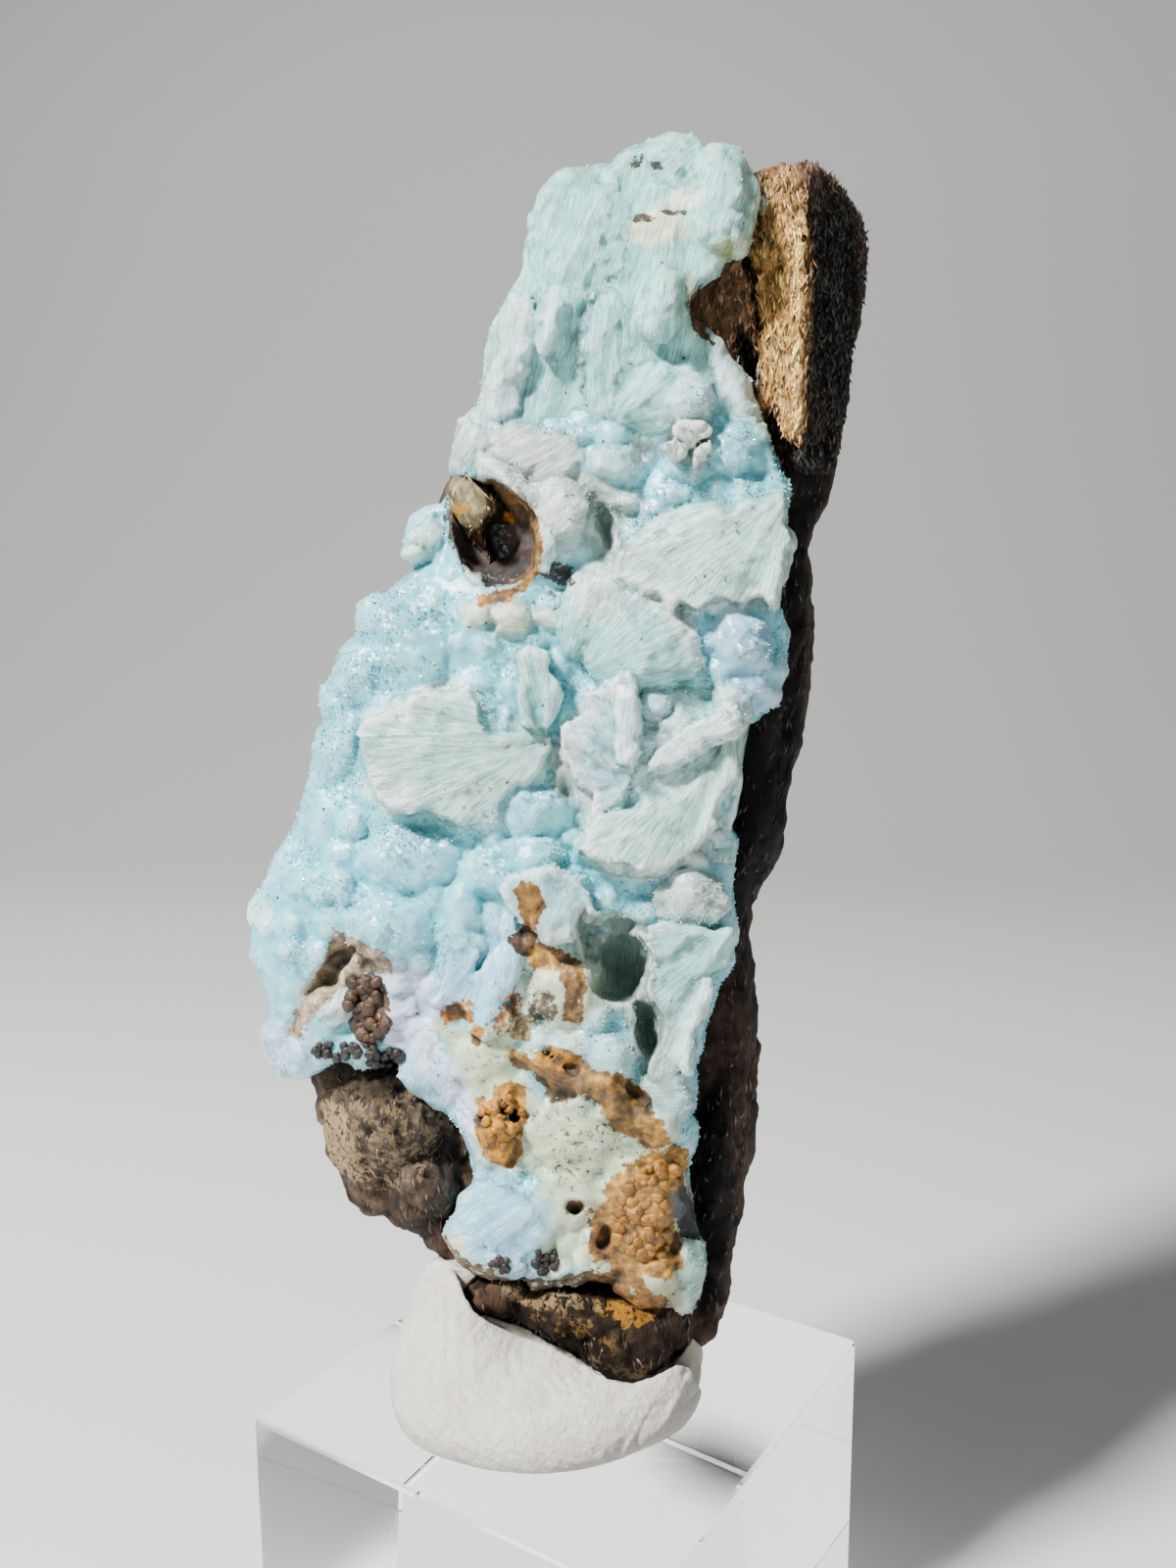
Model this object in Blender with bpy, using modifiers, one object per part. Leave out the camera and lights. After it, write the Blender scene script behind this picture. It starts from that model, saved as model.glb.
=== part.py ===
"""Hemimorphite crust on limonite rock, pressed into a wad of putty on a clear acrylic cube.

The origin is the middle of the cube's underside, +Z is up and the crust faces -Y.
Lengths are millimetres until the last step, which turns each piece into metres.
"""
import math
import random

import bmesh
import bpy
from mathutils import Matrix, Vector

# Driving dimensions, in millimetres and degrees
BLOCK_SIDE = 50.0
BLOCK_EDGE = 0.5
BLOCK_TURN = -32.5
ROCK_BACK = 13.0
ROCK_FRONT = -1.0
ROCK_REST = 53.2
CRUST_FRONT = -5.6
CRUST_BACK = 4.0
CRUST_EDGE = 3.6
TOUCH_GAP = 0.3
PUTTY_WIDTH = 33.0
PUTTY_DEPTH = 34.0
PUTTY_HEIGHT = 9.5
BOTRYOID_SPACING = 4.3

# How fine the solids are
VOXEL = 0.7
CRUST_TRIANGLES = 4900
ROCK_TRIANGLES = 2500
PUTTY_TRIANGLES = 1200

# The front viewpoint that the front's places are read from, with its own picture of 1200 by 1600
VIEW_POINT = Vector((2.08, -140.9, 139.85))
VIEW_DOWN = math.radians(8.42)
PICTURE_MIDDLE = (600.0, 800.0)
PICTURE_FOCUS = 1352.0

# Outlines of the front, as places in that picture
CRUST_TOP = [
    (690, 135), (657, 145), (625, 162), (571, 170), (544, 202), (537, 260), (510, 323), (498, 395),
    (472, 443), (454, 504), (420, 528), (412, 566), (440, 574), (401, 600), (368, 643), (347, 683),
    (333, 738), (320, 782), (309, 830), (284, 873), (251, 939), (258, 970), (271, 1015), (274, 1070),
    (300, 1097), (330, 1094),
]
CRUST_LOWER_LEFT = [
    (372, 1082), (418, 1078), (440, 1114), (472, 1159), (485, 1194), (466, 1239), (453, 1262),
    (482, 1293), (541, 1318), (600, 1326), (660, 1336), (702, 1338),
]
CRUST_RIGHT = [
    (716, 1290), (700, 1225), (701, 1173), (706, 1127), (704, 1079), (718, 1043), (737, 1000),
    (749, 949), (744, 903), (747, 850), (758, 800), (758, 760), (790, 710), (802, 645), (791, 617),
    (802, 510), (786, 453), (766, 418), (736, 375), (714, 331), (702, 316), (733, 278), (759, 261),
    (772, 215), (769, 182), (751, 153), (721, 153),
]
ROCK_RIGHT = [
    (790, 178), (826, 171), (851, 193), (866, 216), (881, 245), (879, 301), (865, 367), (859, 430),
    (840, 507), (823, 560), (823, 670), (815, 740), (801, 800), (792, 855), (768, 913), (757, 970),
    (768, 1060), (761, 1158), (750, 1235), (735, 1321), (699, 1382),
]
ROCK_FOOT = [
    (636, 1411), (587, 1384), (539, 1357), (485, 1344), (470, 1298),
]
ROCK_LOWER_LEFT = [
    (434, 1259), (397, 1237), (365, 1222), (346, 1170), (331, 1130), (328, 1100),
]
ROCK_UNDER_CRUST = [
    (292, 1070), (290, 1010), (280, 940), (325, 840), (350, 745), (380, 660), (435, 600),
    (440, 545), (482, 460), (518, 380), (538, 300), (562, 215), (620, 185), (690, 165),
]

# The part of the crust below its fibrous top is all small round lumps
BOTRYOID_TOP = 430
BOTRYOID_SPAN = 910

# Lumps of the crust: middle, half sizes and tilt in that picture, then the nearest and the half depth
CRUST_LUMPS = {
    "top left face": ((600, 250), (58, 80), 8, -8.6, 6),
    "top peak": ((686, 165), (34, 26), 0, -7.6, 5),
    "cream patch": ((668, 226), (36, 34), 0, -9.8, 5),
    "overlapping right slab": ((738, 205), (32, 52), -12, -10.6, 5),
    "lens": ((566, 328), (21, 42), 12, -10.4, 5),
    "column": ((620, 370), (30, 82), 0, -10.0, 5),
    "upper left lobe": ((526, 340), (22, 52), 12, -7.6, 5),
    "left lobe": ((516, 408), (24, 34), 0, -7.6, 5),
    "edge lobe": ((486, 456), (22, 38), 14, -5.2, 5),
    "round lobe": ((677, 312), (26, 36), 0, -11.2, 5),
    "round fan": ((668, 405), (52, 36), -6, -10.8, 5),
    "scalloped crystal": ((706, 450), (32, 13), -8, -12.4, 3),
    "disc": ((748, 462), (30, 32), 0, -10.0, 5),
    "druse by the hole": ((574, 528), (30, 52), 0, -9.6, 5),
    "pale edge lobe": ((434, 546), (20, 28), 0, -3.6, 4),
    "cream lobe": ((489, 624), (21, 20), 0, -9.4, 4),
    "second cream lobe": ((522, 630), (21, 20), 0, -10.2, 4),
    "grey lobe": ((560, 634), (20, 18), 0, -9.8, 4),
    "large fan": ((716, 562), (88, 36), 14, -12.0, 5),
    "large fan lip": ((752, 598), (46, 20), 0, -12.4, 4),
    "shell arc": ((616, 594), (42, 16), -8, -12.8, 4),
    "shell arc right": ((680, 622), (34, 18), -36, -12.8, 4),
    "shell arc end": ((706, 664), (14, 32), 10, -12.2, 4),
    "shell inside": ((636, 654), (66, 42), 0, -10.4, 5),
    "drusy sphere": ((758, 662), (38, 40), 0, -11.6, 5),
    "left dome": ((424, 668), (54, 66), 24, -8.4, 6),
    "left edge dome": ((358, 790), (28, 66), 18, -6.2, 6),
    "fan neighbour": ((551, 704), (26, 42), 0, -11.6, 4),
    "middle lobe": ((606, 746), (31, 31), 0, -12.4, 4),
    "middle upper lobe": ((648, 694), (27, 24), 0, -12.0, 4),
    "middle column": ((640, 768), (20, 48), 6, -12.2, 4),
    "small middle lobe": ((694, 726), (20, 18), 0, -11.8, 4),
    "right lobe": ((752, 728), (22, 20), 0, -10.0, 4),
    "diagonal blade": ((694, 768), (52, 15), 32, -12.6, 4),
    "right middle face": ((716, 820), (36, 44), 0, -9.6, 5),
    "striated fan": ((660, 862), (68, 30), 0, -12.0, 5),
    "upper botryoid": ((396, 880), (42, 38), 0, -9.6, 5),
    "edge botryoid": ((340, 902), (28, 30), 0, -6.8, 5),
    "large botryoid": ((392, 942), (46, 40), 0, -10.4, 5),
    "tall botryoid": ((468, 946), (27, 46), 0, -10.2, 5),
    "small botryoid": ((500, 892), (26, 24), 0, -10.6, 4),
    "small right botryoid": ((538, 876), (24, 20), 0, -10.8, 4),
    "low shell": ((566, 918), (56, 32), 0, -11.8, 4),
    "stained lump": ((576, 1008), (38, 38), 0, -11.0, 5),
    "round lump": ((622, 1086), (33, 33), 0, -11.2, 5),
    "green lump": ((678, 1118), (26, 42), 0, -10.2, 5),
    "curtain lens": ((690, 918), (30, 28), 0, -11.6, 4),
    "curtain": ((706, 996), (36, 56), 16, -10.8, 5),
    "curtain point": ((682, 1040), (13, 22), 14, -11.4, 3),
    "ledge left": ((566, 1092), (44, 17), -22, -10.4, 4),
    "ledge right": ((662, 1160), (40, 16), -14, -10.6, 4),
    "left rim": ((292, 968), (32, 50), -8, -3.6, 4),
    "left rim foot": ((300, 1060), (28, 34), 0, -2.8, 4),
    "rimmed disc": ((344, 1026), (24, 20), 0, -6.6, 4),
    "brown botryoids": ((388, 1030), (30, 36), 0, -8.2, 5),
    "ochre spots face": ((474, 1040), (48, 46), 0, -8.6, 5),
    "orange face": ((508, 1142), (38, 52), -14, -9.4, 5),
    "speckled face": ((588, 1166), (56, 42), 0, -9.8, 5),
    "ochre face": ((646, 1232), (52, 66), 0, -9.0, 5),
    "blue broken face": ((536, 1254), (70, 50), -10, -8.0, 5),
    "low blue face": ((690, 1262), (24, 56), 0, -7.4, 5),
}

# Fans of blades: the point that they spread from, first and last direction, reach, blades and nearest
CRUST_FANS = {
    "pale fan": ((562, 752), 150, 214, 196, 9, -11.4),
    "upper fan": ((634, 566), -2, 26, 168, 5, -12.4),
    "shell fan": ((600, 606), 262, 340, 92, 6, -11.6),
    "low fan": ((660, 820), 215, 325, 76, 6, -12.4),
}

# Hollows of the crust: middle, half sizes and tilt in that picture, then the deepest and the half depth
CRUST_HOLLOWS = {
    "rusty hole": ((503, 541), (62, 88), -34, -0.6, 16),
    "rusty hole floor": ((512, 578), (30, 24), 0, -0.6, 12),
    "grey pocket": ((620, 536), (17, 38), -14, -4.4, 10),
    "upper pocket": ((650, 452), (15, 9), 0, -6.6, 7),
    "fan gap": ((512, 730), (15, 22), 0, -5.8, 8),
    "low gap": ((574, 806), (14, 34), -10, -6.0, 8),
    "dark cavity": ((636, 990), (34, 54), -22, -3.2, 11),
    "dark cavity foot": ((662, 1052), (22, 30), -10, -3.6, 10),
    "left recess": ((348, 972), (44, 12), 14, -3.4, 6),
    "brown pit": ((615, 1264), (14, 15), 0, -6.2, 6),
}

# Lumps of the rock, read in the same way
ROCK_LUMPS = {
    "golden ridge": ((792, 300), (36, 118), 0, -6.6, 8),
    "ridge tip": ((800, 414), (24, 36), 0, -6.4, 7),
    "bare tongue": ((742, 330), (50, 84), -10, -5.2, 3.2),
    "tongue tip": ((716, 314), (32, 36), 0, -5.6, 3.0),
    "top corner": ((842, 240), (32, 50), 0, 1.0, 6),
    "upper flank": ((838, 300), (36, 110), 0, -1.0, 9),
    "right shoulder": ((806, 470), (34, 70), 0, 0.5, 8),
    "right flank": ((796, 640), (28, 110), 0, 1.0, 8),
    "right waist": ((772, 830), (26, 70), 8, -1.0, 8),
    "low right flank": ((738, 1010), (28, 90), 0, -2.0, 8),
    "low flank": ((734, 1180), (28, 110), 4, -3.0, 8),
    "rusty hole lining": ((508, 546), (42, 60), -34, -3.4, 4.6),
    "left lump": ((392, 1150), (58, 62), -30, -5.6, 9),
    "left lump foot": ((430, 1210), (38, 44), -30, -4.8, 8),
    "foot": ((590, 1346), (92, 38), 14, -7.4, 10),
    "foot left": ((520, 1326), (44, 26), -20, -6.0, 8),
    "foot right": ((672, 1352), (36, 36), 0, -6.8, 9),
    "foot tip": ((640, 1372), (46, 40), 0, -8.8, 5),
    "back bulge": ((620, 580), (110, 230), 0, 6.0, 5.0),
    "back shoulder": ((706, 330), (100, 120), 0, 6.0, 4.4),
    "back foot": ((560, 1020), (190, 230), 0, 5.4, 5.4),
}

# Lumps of the putty: middle in millimetres, then half sizes in millimetres
PUTTY_LUMPS = {
    "wad": ((-2.4, -2.0, 1.8), (PUTTY_WIDTH / 2, PUTTY_DEPTH / 2 - 1.4, PUTTY_HEIGHT * 0.62)),
    "front roll": ((-4.8, -8.4, 2.4), (13.2, 8.8, 5.6)),
    "left lobe": ((-12.6, -1.8, 6.6), (6.0, 9.4, 8.0)),
    "left side": ((-11.6, -5.0, 3.4), (7.6, 9.4, 7.4)),
    "right lobe": ((7.2, -3.6, 2.8), (7.4, 9.0, 7.0)),
    "back lobe": ((0.0, 8.8, 4.0), (14.4, 8.4, 8.0)),
}


def on_front(place):
    """The place where the line of sight through a place in the picture meets the plane Y = 0."""
    across = (place[0] - PICTURE_MIDDLE[0]) / PICTURE_FOCUS
    down = (place[1] - PICTURE_MIDDLE[1]) / PICTURE_FOCUS
    ahead = math.cos(VIEW_DOWN) - math.sin(VIEW_DOWN) * down
    drop = math.sin(VIEW_DOWN) + math.cos(VIEW_DOWN) * down
    reach = -VIEW_POINT.y / ahead
    return Vector((VIEW_POINT.x + across * reach, 0.0, VIEW_POINT.z - drop * reach)), reach / PICTURE_FOCUS


def along_sight(point):
    """A point of the front view, moved along its line of sight to its own depth."""
    flat = Vector((point[0], 0.0, point[2]))
    return VIEW_POINT + (flat - VIEW_POINT) * ((point[1] - VIEW_POINT.y) / -VIEW_POINT.y)


def unit_ball(around, rings):
    shape = bmesh.new()
    bmesh.ops.create_uvsphere(shape, u_segments=around, v_segments=rings, radius=1.0)
    mesh = bpy.data.meshes.new("ball")
    shape.to_mesh(mesh)
    shape.free()
    return mesh


def add_ball(shape, matrix, around=20, rings=12):
    """An ellipsoid, as a copy of one ball."""
    name = f"ball_{around}_{rings}"
    ball = bpy.data.meshes.get(name)
    if ball is None:
        ball = unit_ball(around, rings)
        ball.name = name
    copy = ball.copy()
    copy.transform(matrix)
    shape.from_mesh(copy)
    bpy.data.meshes.remove(copy)


def add_lump(shape, middle, half, tilt, nearest, depth):
    """A rounded lump, tilted in the plane of the picture, that comes forward to nearest."""
    place, scale = on_front(middle)
    place.y = nearest + depth
    turn = Matrix.Rotation(math.radians(tilt), 4, "Y")
    size = Matrix.Diagonal((half[0] * scale, depth, half[1] * scale, 1.0))
    add_ball(shape, Matrix.Translation(place) @ turn @ size)


def add_fan(shape, apex, first, last, reach, blades, nearest):
    """Blades that spread from one point; directions are in degrees, counterclockwise from +X."""
    step = (last - first) / (blades - 1)
    width = reach * math.radians(abs(step)) * 0.34
    for blade in range(blades):
        direction = math.radians(first + blade * step)
        far = 0.94 if blade % 2 else 1.0
        middle = (
            apex[0] + math.cos(direction) * reach * far * 0.54,
            apex[1] - math.sin(direction) * reach * far * 0.54,
        )
        tilt = -math.degrees(direction)
        add_lump(shape, middle, (reach * far * 0.46, width), tilt, nearest + (blade % 2) * 0.7, 3.6)


def inside(place, outline):
    """Whether a place of the picture is within an outline."""
    found = False
    for here, there in zip(outline, outline[1:] + outline[:1]):
        if (here[1] > place[1]) != (there[1] > place[1]):
            slant = (place[1] - here[1]) / (there[1] - here[1])
            if place[0] < here[0] + slant * (there[0] - here[0]):
                found = not found
    return found


def add_botryoids(shape, outline, spacing):
    """Small round lumps of chance sizes all over the outline, clear of its edge."""
    chance = random.Random(7)
    pitch = spacing / on_front(PICTURE_MIDDLE)[1]
    margin = pitch * 0.6
    for row in range(int(BOTRYOID_SPAN / (pitch * 0.87))):
        for column in range(int(700 / pitch)):
            across = 220 + (column + (row % 2) / 2 + chance.uniform(-0.28, 0.28)) * pitch
            down = BOTRYOID_TOP + (row * 0.87 + chance.uniform(-0.28, 0.28)) * pitch
            half = pitch * chance.uniform(0.52, 0.78)
            nearest = chance.uniform(-9.4, -7.2)
            around = [(across + dx * margin, down + dy * margin) for dx in (-1, 1) for dy in (-1, 1)]
            if all(inside(place, outline) for place in around):
                add_lump(shape, (across, down), (half, half), 0.0, nearest, 4.0)


def add_slab(shape, outline, front, back, edge):
    """A flat body with this outline and rounded edges, from a filled curve with its thickness."""
    curve = bpy.data.curves.new("outline", "CURVE")
    curve.dimensions = "2D"
    curve.fill_mode = "BOTH"
    curve.extrude = (back - front) / 2 - edge
    curve.bevel_depth = edge
    curve.offset = -edge
    curve.bevel_resolution = 2
    spline = curve.splines.new("POLY")
    spline.points.add(len(outline) - 1)
    for point, place in zip(spline.points, outline):
        flat = on_front(place)[0]
        point.co = (flat.x, flat.z, 0.0, 1.0)
    spline.use_cyclic_u = True
    holder = bpy.data.objects.new("outline", curve)
    bpy.context.scene.collection.objects.link(holder)
    graph = bpy.context.evaluated_depsgraph_get()
    mesh = bpy.data.meshes.new_from_object(holder.evaluated_get(graph))
    stand = Matrix.Translation((0.0, (front + back) / 2, 0.0)) @ Matrix.Rotation(math.radians(90.0), 4, "X")
    mesh.transform(stand)
    shape.from_mesh(mesh)
    bpy.data.objects.remove(holder)
    bpy.data.curves.remove(curve)
    bpy.data.meshes.remove(mesh)
    bmesh.ops.remove_doubles(shape, verts=shape.verts, dist=0.0001)


def make_object(name, shape, collection):
    mesh = bpy.data.meshes.new(name)
    shape.to_mesh(mesh)
    shape.free()
    piece = bpy.data.objects.new(name, mesh)
    collection.objects.link(piece)
    return piece


def settle(piece):
    """Turns a piece's modifiers into its own mesh."""
    graph = bpy.context.evaluated_depsgraph_get()
    mesh = bpy.data.meshes.new_from_object(piece.evaluated_get(graph))
    piece.modifiers.clear()
    old = piece.data
    piece.data = mesh
    bpy.data.meshes.remove(old)
    mesh.name = piece.name


def fuse(piece, voxel):
    remesh = piece.modifiers.new("fuse", "REMESH")
    remesh.mode = "VOXEL"
    remesh.voxel_size = voxel
    settle(piece)


def soften(piece, times, factor=0.5):
    smooth = piece.modifiers.new("soften", "SMOOTH")
    smooth.factor = factor
    smooth.iterations = times
    settle(piece)


def roughen(piece, kind, size, height):
    """Breaks the surface up with a pattern of this size and height."""
    pattern = bpy.data.textures.new(piece.name, kind)
    pattern.noise_scale = size
    displace = piece.modifiers.new("roughen", "DISPLACE")
    displace.texture = pattern
    displace.texture_coords = "LOCAL"
    displace.strength = height
    displace.mid_level = 0.5
    settle(piece)


def thin_out(piece, triangles):
    decimate = piece.modifiers.new("thin out", "DECIMATE")
    decimate.ratio = triangles / (2.0 * len(piece.data.polygons))
    decimate.use_collapse_triangulate = True
    settle(piece)


def subtract(piece, cutter):
    boolean = piece.modifiers.new("cut", "BOOLEAN")
    boolean.operation = "DIFFERENCE"
    boolean.solver = "EXACT"
    boolean.object = cutter
    settle(piece)


def keep_largest(piece):
    """Removes crumbs that a cut leaves loose."""
    shape = bmesh.new()
    shape.from_mesh(piece.data)
    left = set(shape.verts)
    groups = []
    while left:
        group = set()
        front = [left.pop()]
        while front:
            vert = front.pop()
            group.add(vert)
            for edge in vert.link_edges:
                other = edge.other_vert(vert)
                if other in left:
                    left.discard(other)
                    front.append(other)
        groups.append(group)
    groups.sort(key=len, reverse=True)
    crumbs = [vert for group in groups[1:] for vert in group]
    bmesh.ops.delete(shape, geom=crumbs, context="VERTS")
    shape.to_mesh(piece.data)
    shape.free()


def grown_copy(piece, gap, collection):
    """A cutter: the piece itself, larger by the gap that touching pieces keep."""
    cutter = bpy.data.objects.new(piece.name + "_cutter", piece.data.copy())
    collection.objects.link(cutter)
    displace = cutter.modifiers.new("grow", "DISPLACE")
    displace.strength = gap
    displace.mid_level = 0.0
    settle(cutter)
    cutter.hide_render = True
    cutter.display_type = "WIRE"
    return cutter


def stand_up(piece):
    """From the front view to the real place."""
    for vert in piece.data.vertices:
        vert.co = along_sight(vert.co)


def material(name, colour, roughness, transmission=0.0, ior=1.5):
    made = bpy.data.materials.new(name)
    made.use_nodes = True
    shader = made.node_tree.nodes["Principled BSDF"]
    shader.inputs["Base Color"].default_value = (*colour, 1.0)
    shader.inputs["Roughness"].default_value = roughness
    shader.inputs["Transmission Weight"].default_value = transmission
    shader.inputs["IOR"].default_value = ior
    return made


def make_rock(parts, cutters):
    """One piece of limonite: three stepped layers give it its slanting right side."""
    shape = bmesh.new()
    left = ROCK_LOWER_LEFT + ROCK_UNDER_CRUST
    near_right = CRUST_RIGHT[::-1][8:]
    middle_right = [((a[0] * 2 + 740) / 3, a[1]) for a in ROCK_RIGHT[:-1]] + ROCK_RIGHT[-1:]
    add_slab(shape, [(720, 180)] + ROCK_RIGHT + ROCK_FOOT + left, 3.0, ROCK_BACK, 3.0)
    add_slab(shape, [(720, 180)] + middle_right + ROCK_FOOT + left, -1.0, 8.0, 2.0)
    add_slab(shape, [(720, 200)] + near_right + ROCK_FOOT + left, ROCK_FRONT, 6.0, 1.5)
    for lump in ROCK_LUMPS.values():
        add_lump(shape, *lump)
    rock = make_object("limonite_matrix", shape, parts)
    fuse(rock, VOXEL)
    soften(rock, 3)
    roughen(rock, "VORONOI", 7.0, 2.2)
    fuse(rock, VOXEL)
    soften(rock, 1)
    thin_out(rock, ROCK_TRIANGLES)
    stand_up(rock)
    under = bmesh.new()
    below = Matrix.Translation((0.0, 0.0, ROCK_REST - 15.0)) @ Matrix.Diagonal((90.0, 90.0, 30.0, 1.0))
    bmesh.ops.create_cube(under, size=1.0, matrix=below)
    cutter = make_object("rock_rest", under, cutters)
    cutter.hide_render = True
    cutter.display_type = "WIRE"
    subtract(rock, cutter)
    return rock


def make_crust(parts, cutters, rock):
    """The blue crust: a rolled slab that carries its lumps and fans, with its hollows cut in."""
    shape = bmesh.new()
    outline = CRUST_TOP + CRUST_LOWER_LEFT + CRUST_RIGHT
    add_slab(shape, outline, CRUST_FRONT, CRUST_BACK, CRUST_EDGE)
    add_botryoids(shape, outline, BOTRYOID_SPACING)
    for lump in CRUST_LUMPS.values():
        add_lump(shape, *lump)
    for fan in CRUST_FANS.values():
        add_fan(shape, *fan)
    crust = make_object("hemimorphite_crust", shape, parts)
    fuse(crust, VOXEL)
    thin_out(crust, 3 * CRUST_TRIANGLES)
    hollows = bmesh.new()
    for middle, half, tilt, deepest, depth in CRUST_HOLLOWS.values():
        add_lump(hollows, middle, half, tilt, deepest - 2 * depth, depth)
    cutter = make_object("crust_hollows", hollows, cutters)
    fuse(cutter, 2 * VOXEL)
    cutter.hide_render = True
    cutter.display_type = "WIRE"
    subtract(crust, cutter)
    fuse(crust, VOXEL)
    soften(crust, 1)
    thin_out(crust, CRUST_TRIANGLES)
    stand_up(crust)
    subtract(crust, grown_copy(rock, TOUCH_GAP, cutters))
    keep_largest(crust)
    return crust


def make_putty(parts, cutters, pressed_in):
    """The wad of putty, flat on the block and pressed round the foot of the rock."""
    shape = bmesh.new()
    top = BLOCK_SIDE + TOUCH_GAP
    for middle, half in PUTTY_LUMPS.values():
        place = Vector(middle) + Vector((0.0, 0.0, top))
        add_ball(shape, Matrix.Translation(place) @ Matrix.Diagonal((*half, 1.0)), 24, 14)
    putty = make_object("putty", shape, parts)
    fuse(putty, VOXEL)
    soften(putty, 4)
    under = bmesh.new()
    below = Matrix.Translation((0.0, 0.0, top - 10.0)) @ Matrix.Diagonal((80.0, 80.0, 20.0, 1.0))
    bmesh.ops.create_cube(under, size=1.0, matrix=below)
    floor = make_object("putty_underside", under, cutters)
    floor.hide_render = True
    floor.display_type = "WIRE"
    thin_out(putty, PUTTY_TRIANGLES)
    subtract(putty, floor)
    for piece in pressed_in:
        subtract(putty, grown_copy(piece, TOUCH_GAP, cutters))
    keep_largest(putty)
    return putty


def make_block(parts):
    """The clear cube, turned a little about the upright axis, with softened edges."""
    shape = bmesh.new()
    bmesh.ops.create_cube(shape, size=BLOCK_SIDE)
    block = make_object("acrylic_block", shape, parts)
    bevel = block.modifiers.new("edges", "BEVEL")
    bevel.width = BLOCK_EDGE
    bevel.segments = 2
    settle(block)
    turn = Matrix.Rotation(math.radians(BLOCK_TURN), 4, "Z")
    block.data.transform(Matrix.Translation((0.0, 0.0, BLOCK_SIDE / 2)) @ turn)
    return block


def to_metres(piece):
    piece.data.transform(Matrix.Scale(0.001, 4))


def build():
    for old in list(bpy.data.objects):
        bpy.data.objects.remove(old)
    parts = bpy.data.collections.new("hemimorphite")
    cutters = bpy.data.collections.new("cutters")
    bpy.context.scene.collection.children.link(parts)
    bpy.context.scene.collection.children.link(cutters)
    rock = make_rock(parts, cutters)
    crust = make_crust(parts, cutters, rock)
    putty = make_putty(parts, cutters, [rock, crust])
    block = make_block(parts)
    rock.data.materials.append(material("limonite", (0.16, 0.085, 0.035), 0.8))
    crust.data.materials.append(material("hemimorphite", (0.38, 0.62, 0.66), 0.45))
    putty.data.materials.append(material("putty", (0.60, 0.56, 0.51), 0.75))
    block.data.materials.append(material("acrylic", (1.0, 1.0, 1.0), 0.03, 1.0, 1.49))
    for piece in list(parts.objects) + list(cutters.objects):
        to_metres(piece)


build()
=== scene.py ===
import math
import random

import bmesh
import bpy
import numpy as np
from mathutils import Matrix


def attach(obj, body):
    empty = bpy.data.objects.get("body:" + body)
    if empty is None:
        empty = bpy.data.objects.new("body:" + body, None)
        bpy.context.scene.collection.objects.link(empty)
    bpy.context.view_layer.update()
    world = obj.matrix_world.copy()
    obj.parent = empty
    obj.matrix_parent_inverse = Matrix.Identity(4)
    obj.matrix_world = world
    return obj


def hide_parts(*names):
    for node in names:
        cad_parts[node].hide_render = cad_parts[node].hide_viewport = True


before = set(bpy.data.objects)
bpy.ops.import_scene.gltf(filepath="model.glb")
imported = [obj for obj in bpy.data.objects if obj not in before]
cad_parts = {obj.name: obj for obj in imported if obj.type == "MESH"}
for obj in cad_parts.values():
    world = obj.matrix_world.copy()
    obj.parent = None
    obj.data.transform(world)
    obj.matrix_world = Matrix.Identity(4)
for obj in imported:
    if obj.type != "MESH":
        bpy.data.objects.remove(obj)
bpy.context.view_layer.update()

import openvdb
from mathutils import Vector

# The viewpoint: a hand-held camera about 14 cm in front of the stone and level with its upper half,
# looking a little down. Every place on the front is named by where it lies in the 1200 by 1600
# picture (across, down), and deep is its distance behind the plane Y = 0, in millimetres.
PICTURE = (1200, 1600)
FOCUS = 1352.0
LOOK_DOWN = math.radians(8.42)
EYE = np.array((2.08, -140.9, 139.85))
MM = 0.001
STEP_MM = 0.1055

camera = bpy.data.objects.new("camera", bpy.data.cameras.new("camera"))
camera.data.sensor_width = 36.0
camera.data.lens = 36.0 * FOCUS / PICTURE[1]
camera.data.clip_start = 0.01
camera.location = EYE * MM
camera.rotation_euler = (math.radians(90.0) - LOOK_DOWN, 0.0, 0.0)
bpy.context.scene.collection.objects.link(camera)
bpy.context.scene.camera = camera


def real_place(places):
    """Places of the picture (across, deep in picture steps, down) as real places, in metres."""
    across = (places[:, 0] - PICTURE[0] / 2) / FOCUS
    down = (places[:, 2] - PICTURE[1] / 2) / FOCUS
    deep = places[:, 1] * STEP_MM
    ahead = math.cos(LOOK_DOWN) - math.sin(LOOK_DOWN) * down
    drop = math.sin(LOOK_DOWN) + math.cos(LOOK_DOWN) * down
    reach = (deep - EYE[1]) / ahead
    return np.stack((EYE[0] + across * reach, deep, EYE[2] - drop * reach), axis=1) * MM


def picture_place(real):
    """Real places, in metres, as places of the picture."""
    away = real / MM - EYE
    ahead = away[:, 1] * math.cos(LOOK_DOWN) - away[:, 2] * math.sin(LOOK_DOWN)
    up = away[:, 1] * math.sin(LOOK_DOWN) + away[:, 2] * math.cos(LOOK_DOWN)
    across = PICTURE[0] / 2 + FOCUS * away[:, 0] / ahead
    down = PICTURE[1] / 2 - FOCUS * up / ahead
    return np.stack((across, real[:, 1] / MM / STEP_MM, down), axis=1)


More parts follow.
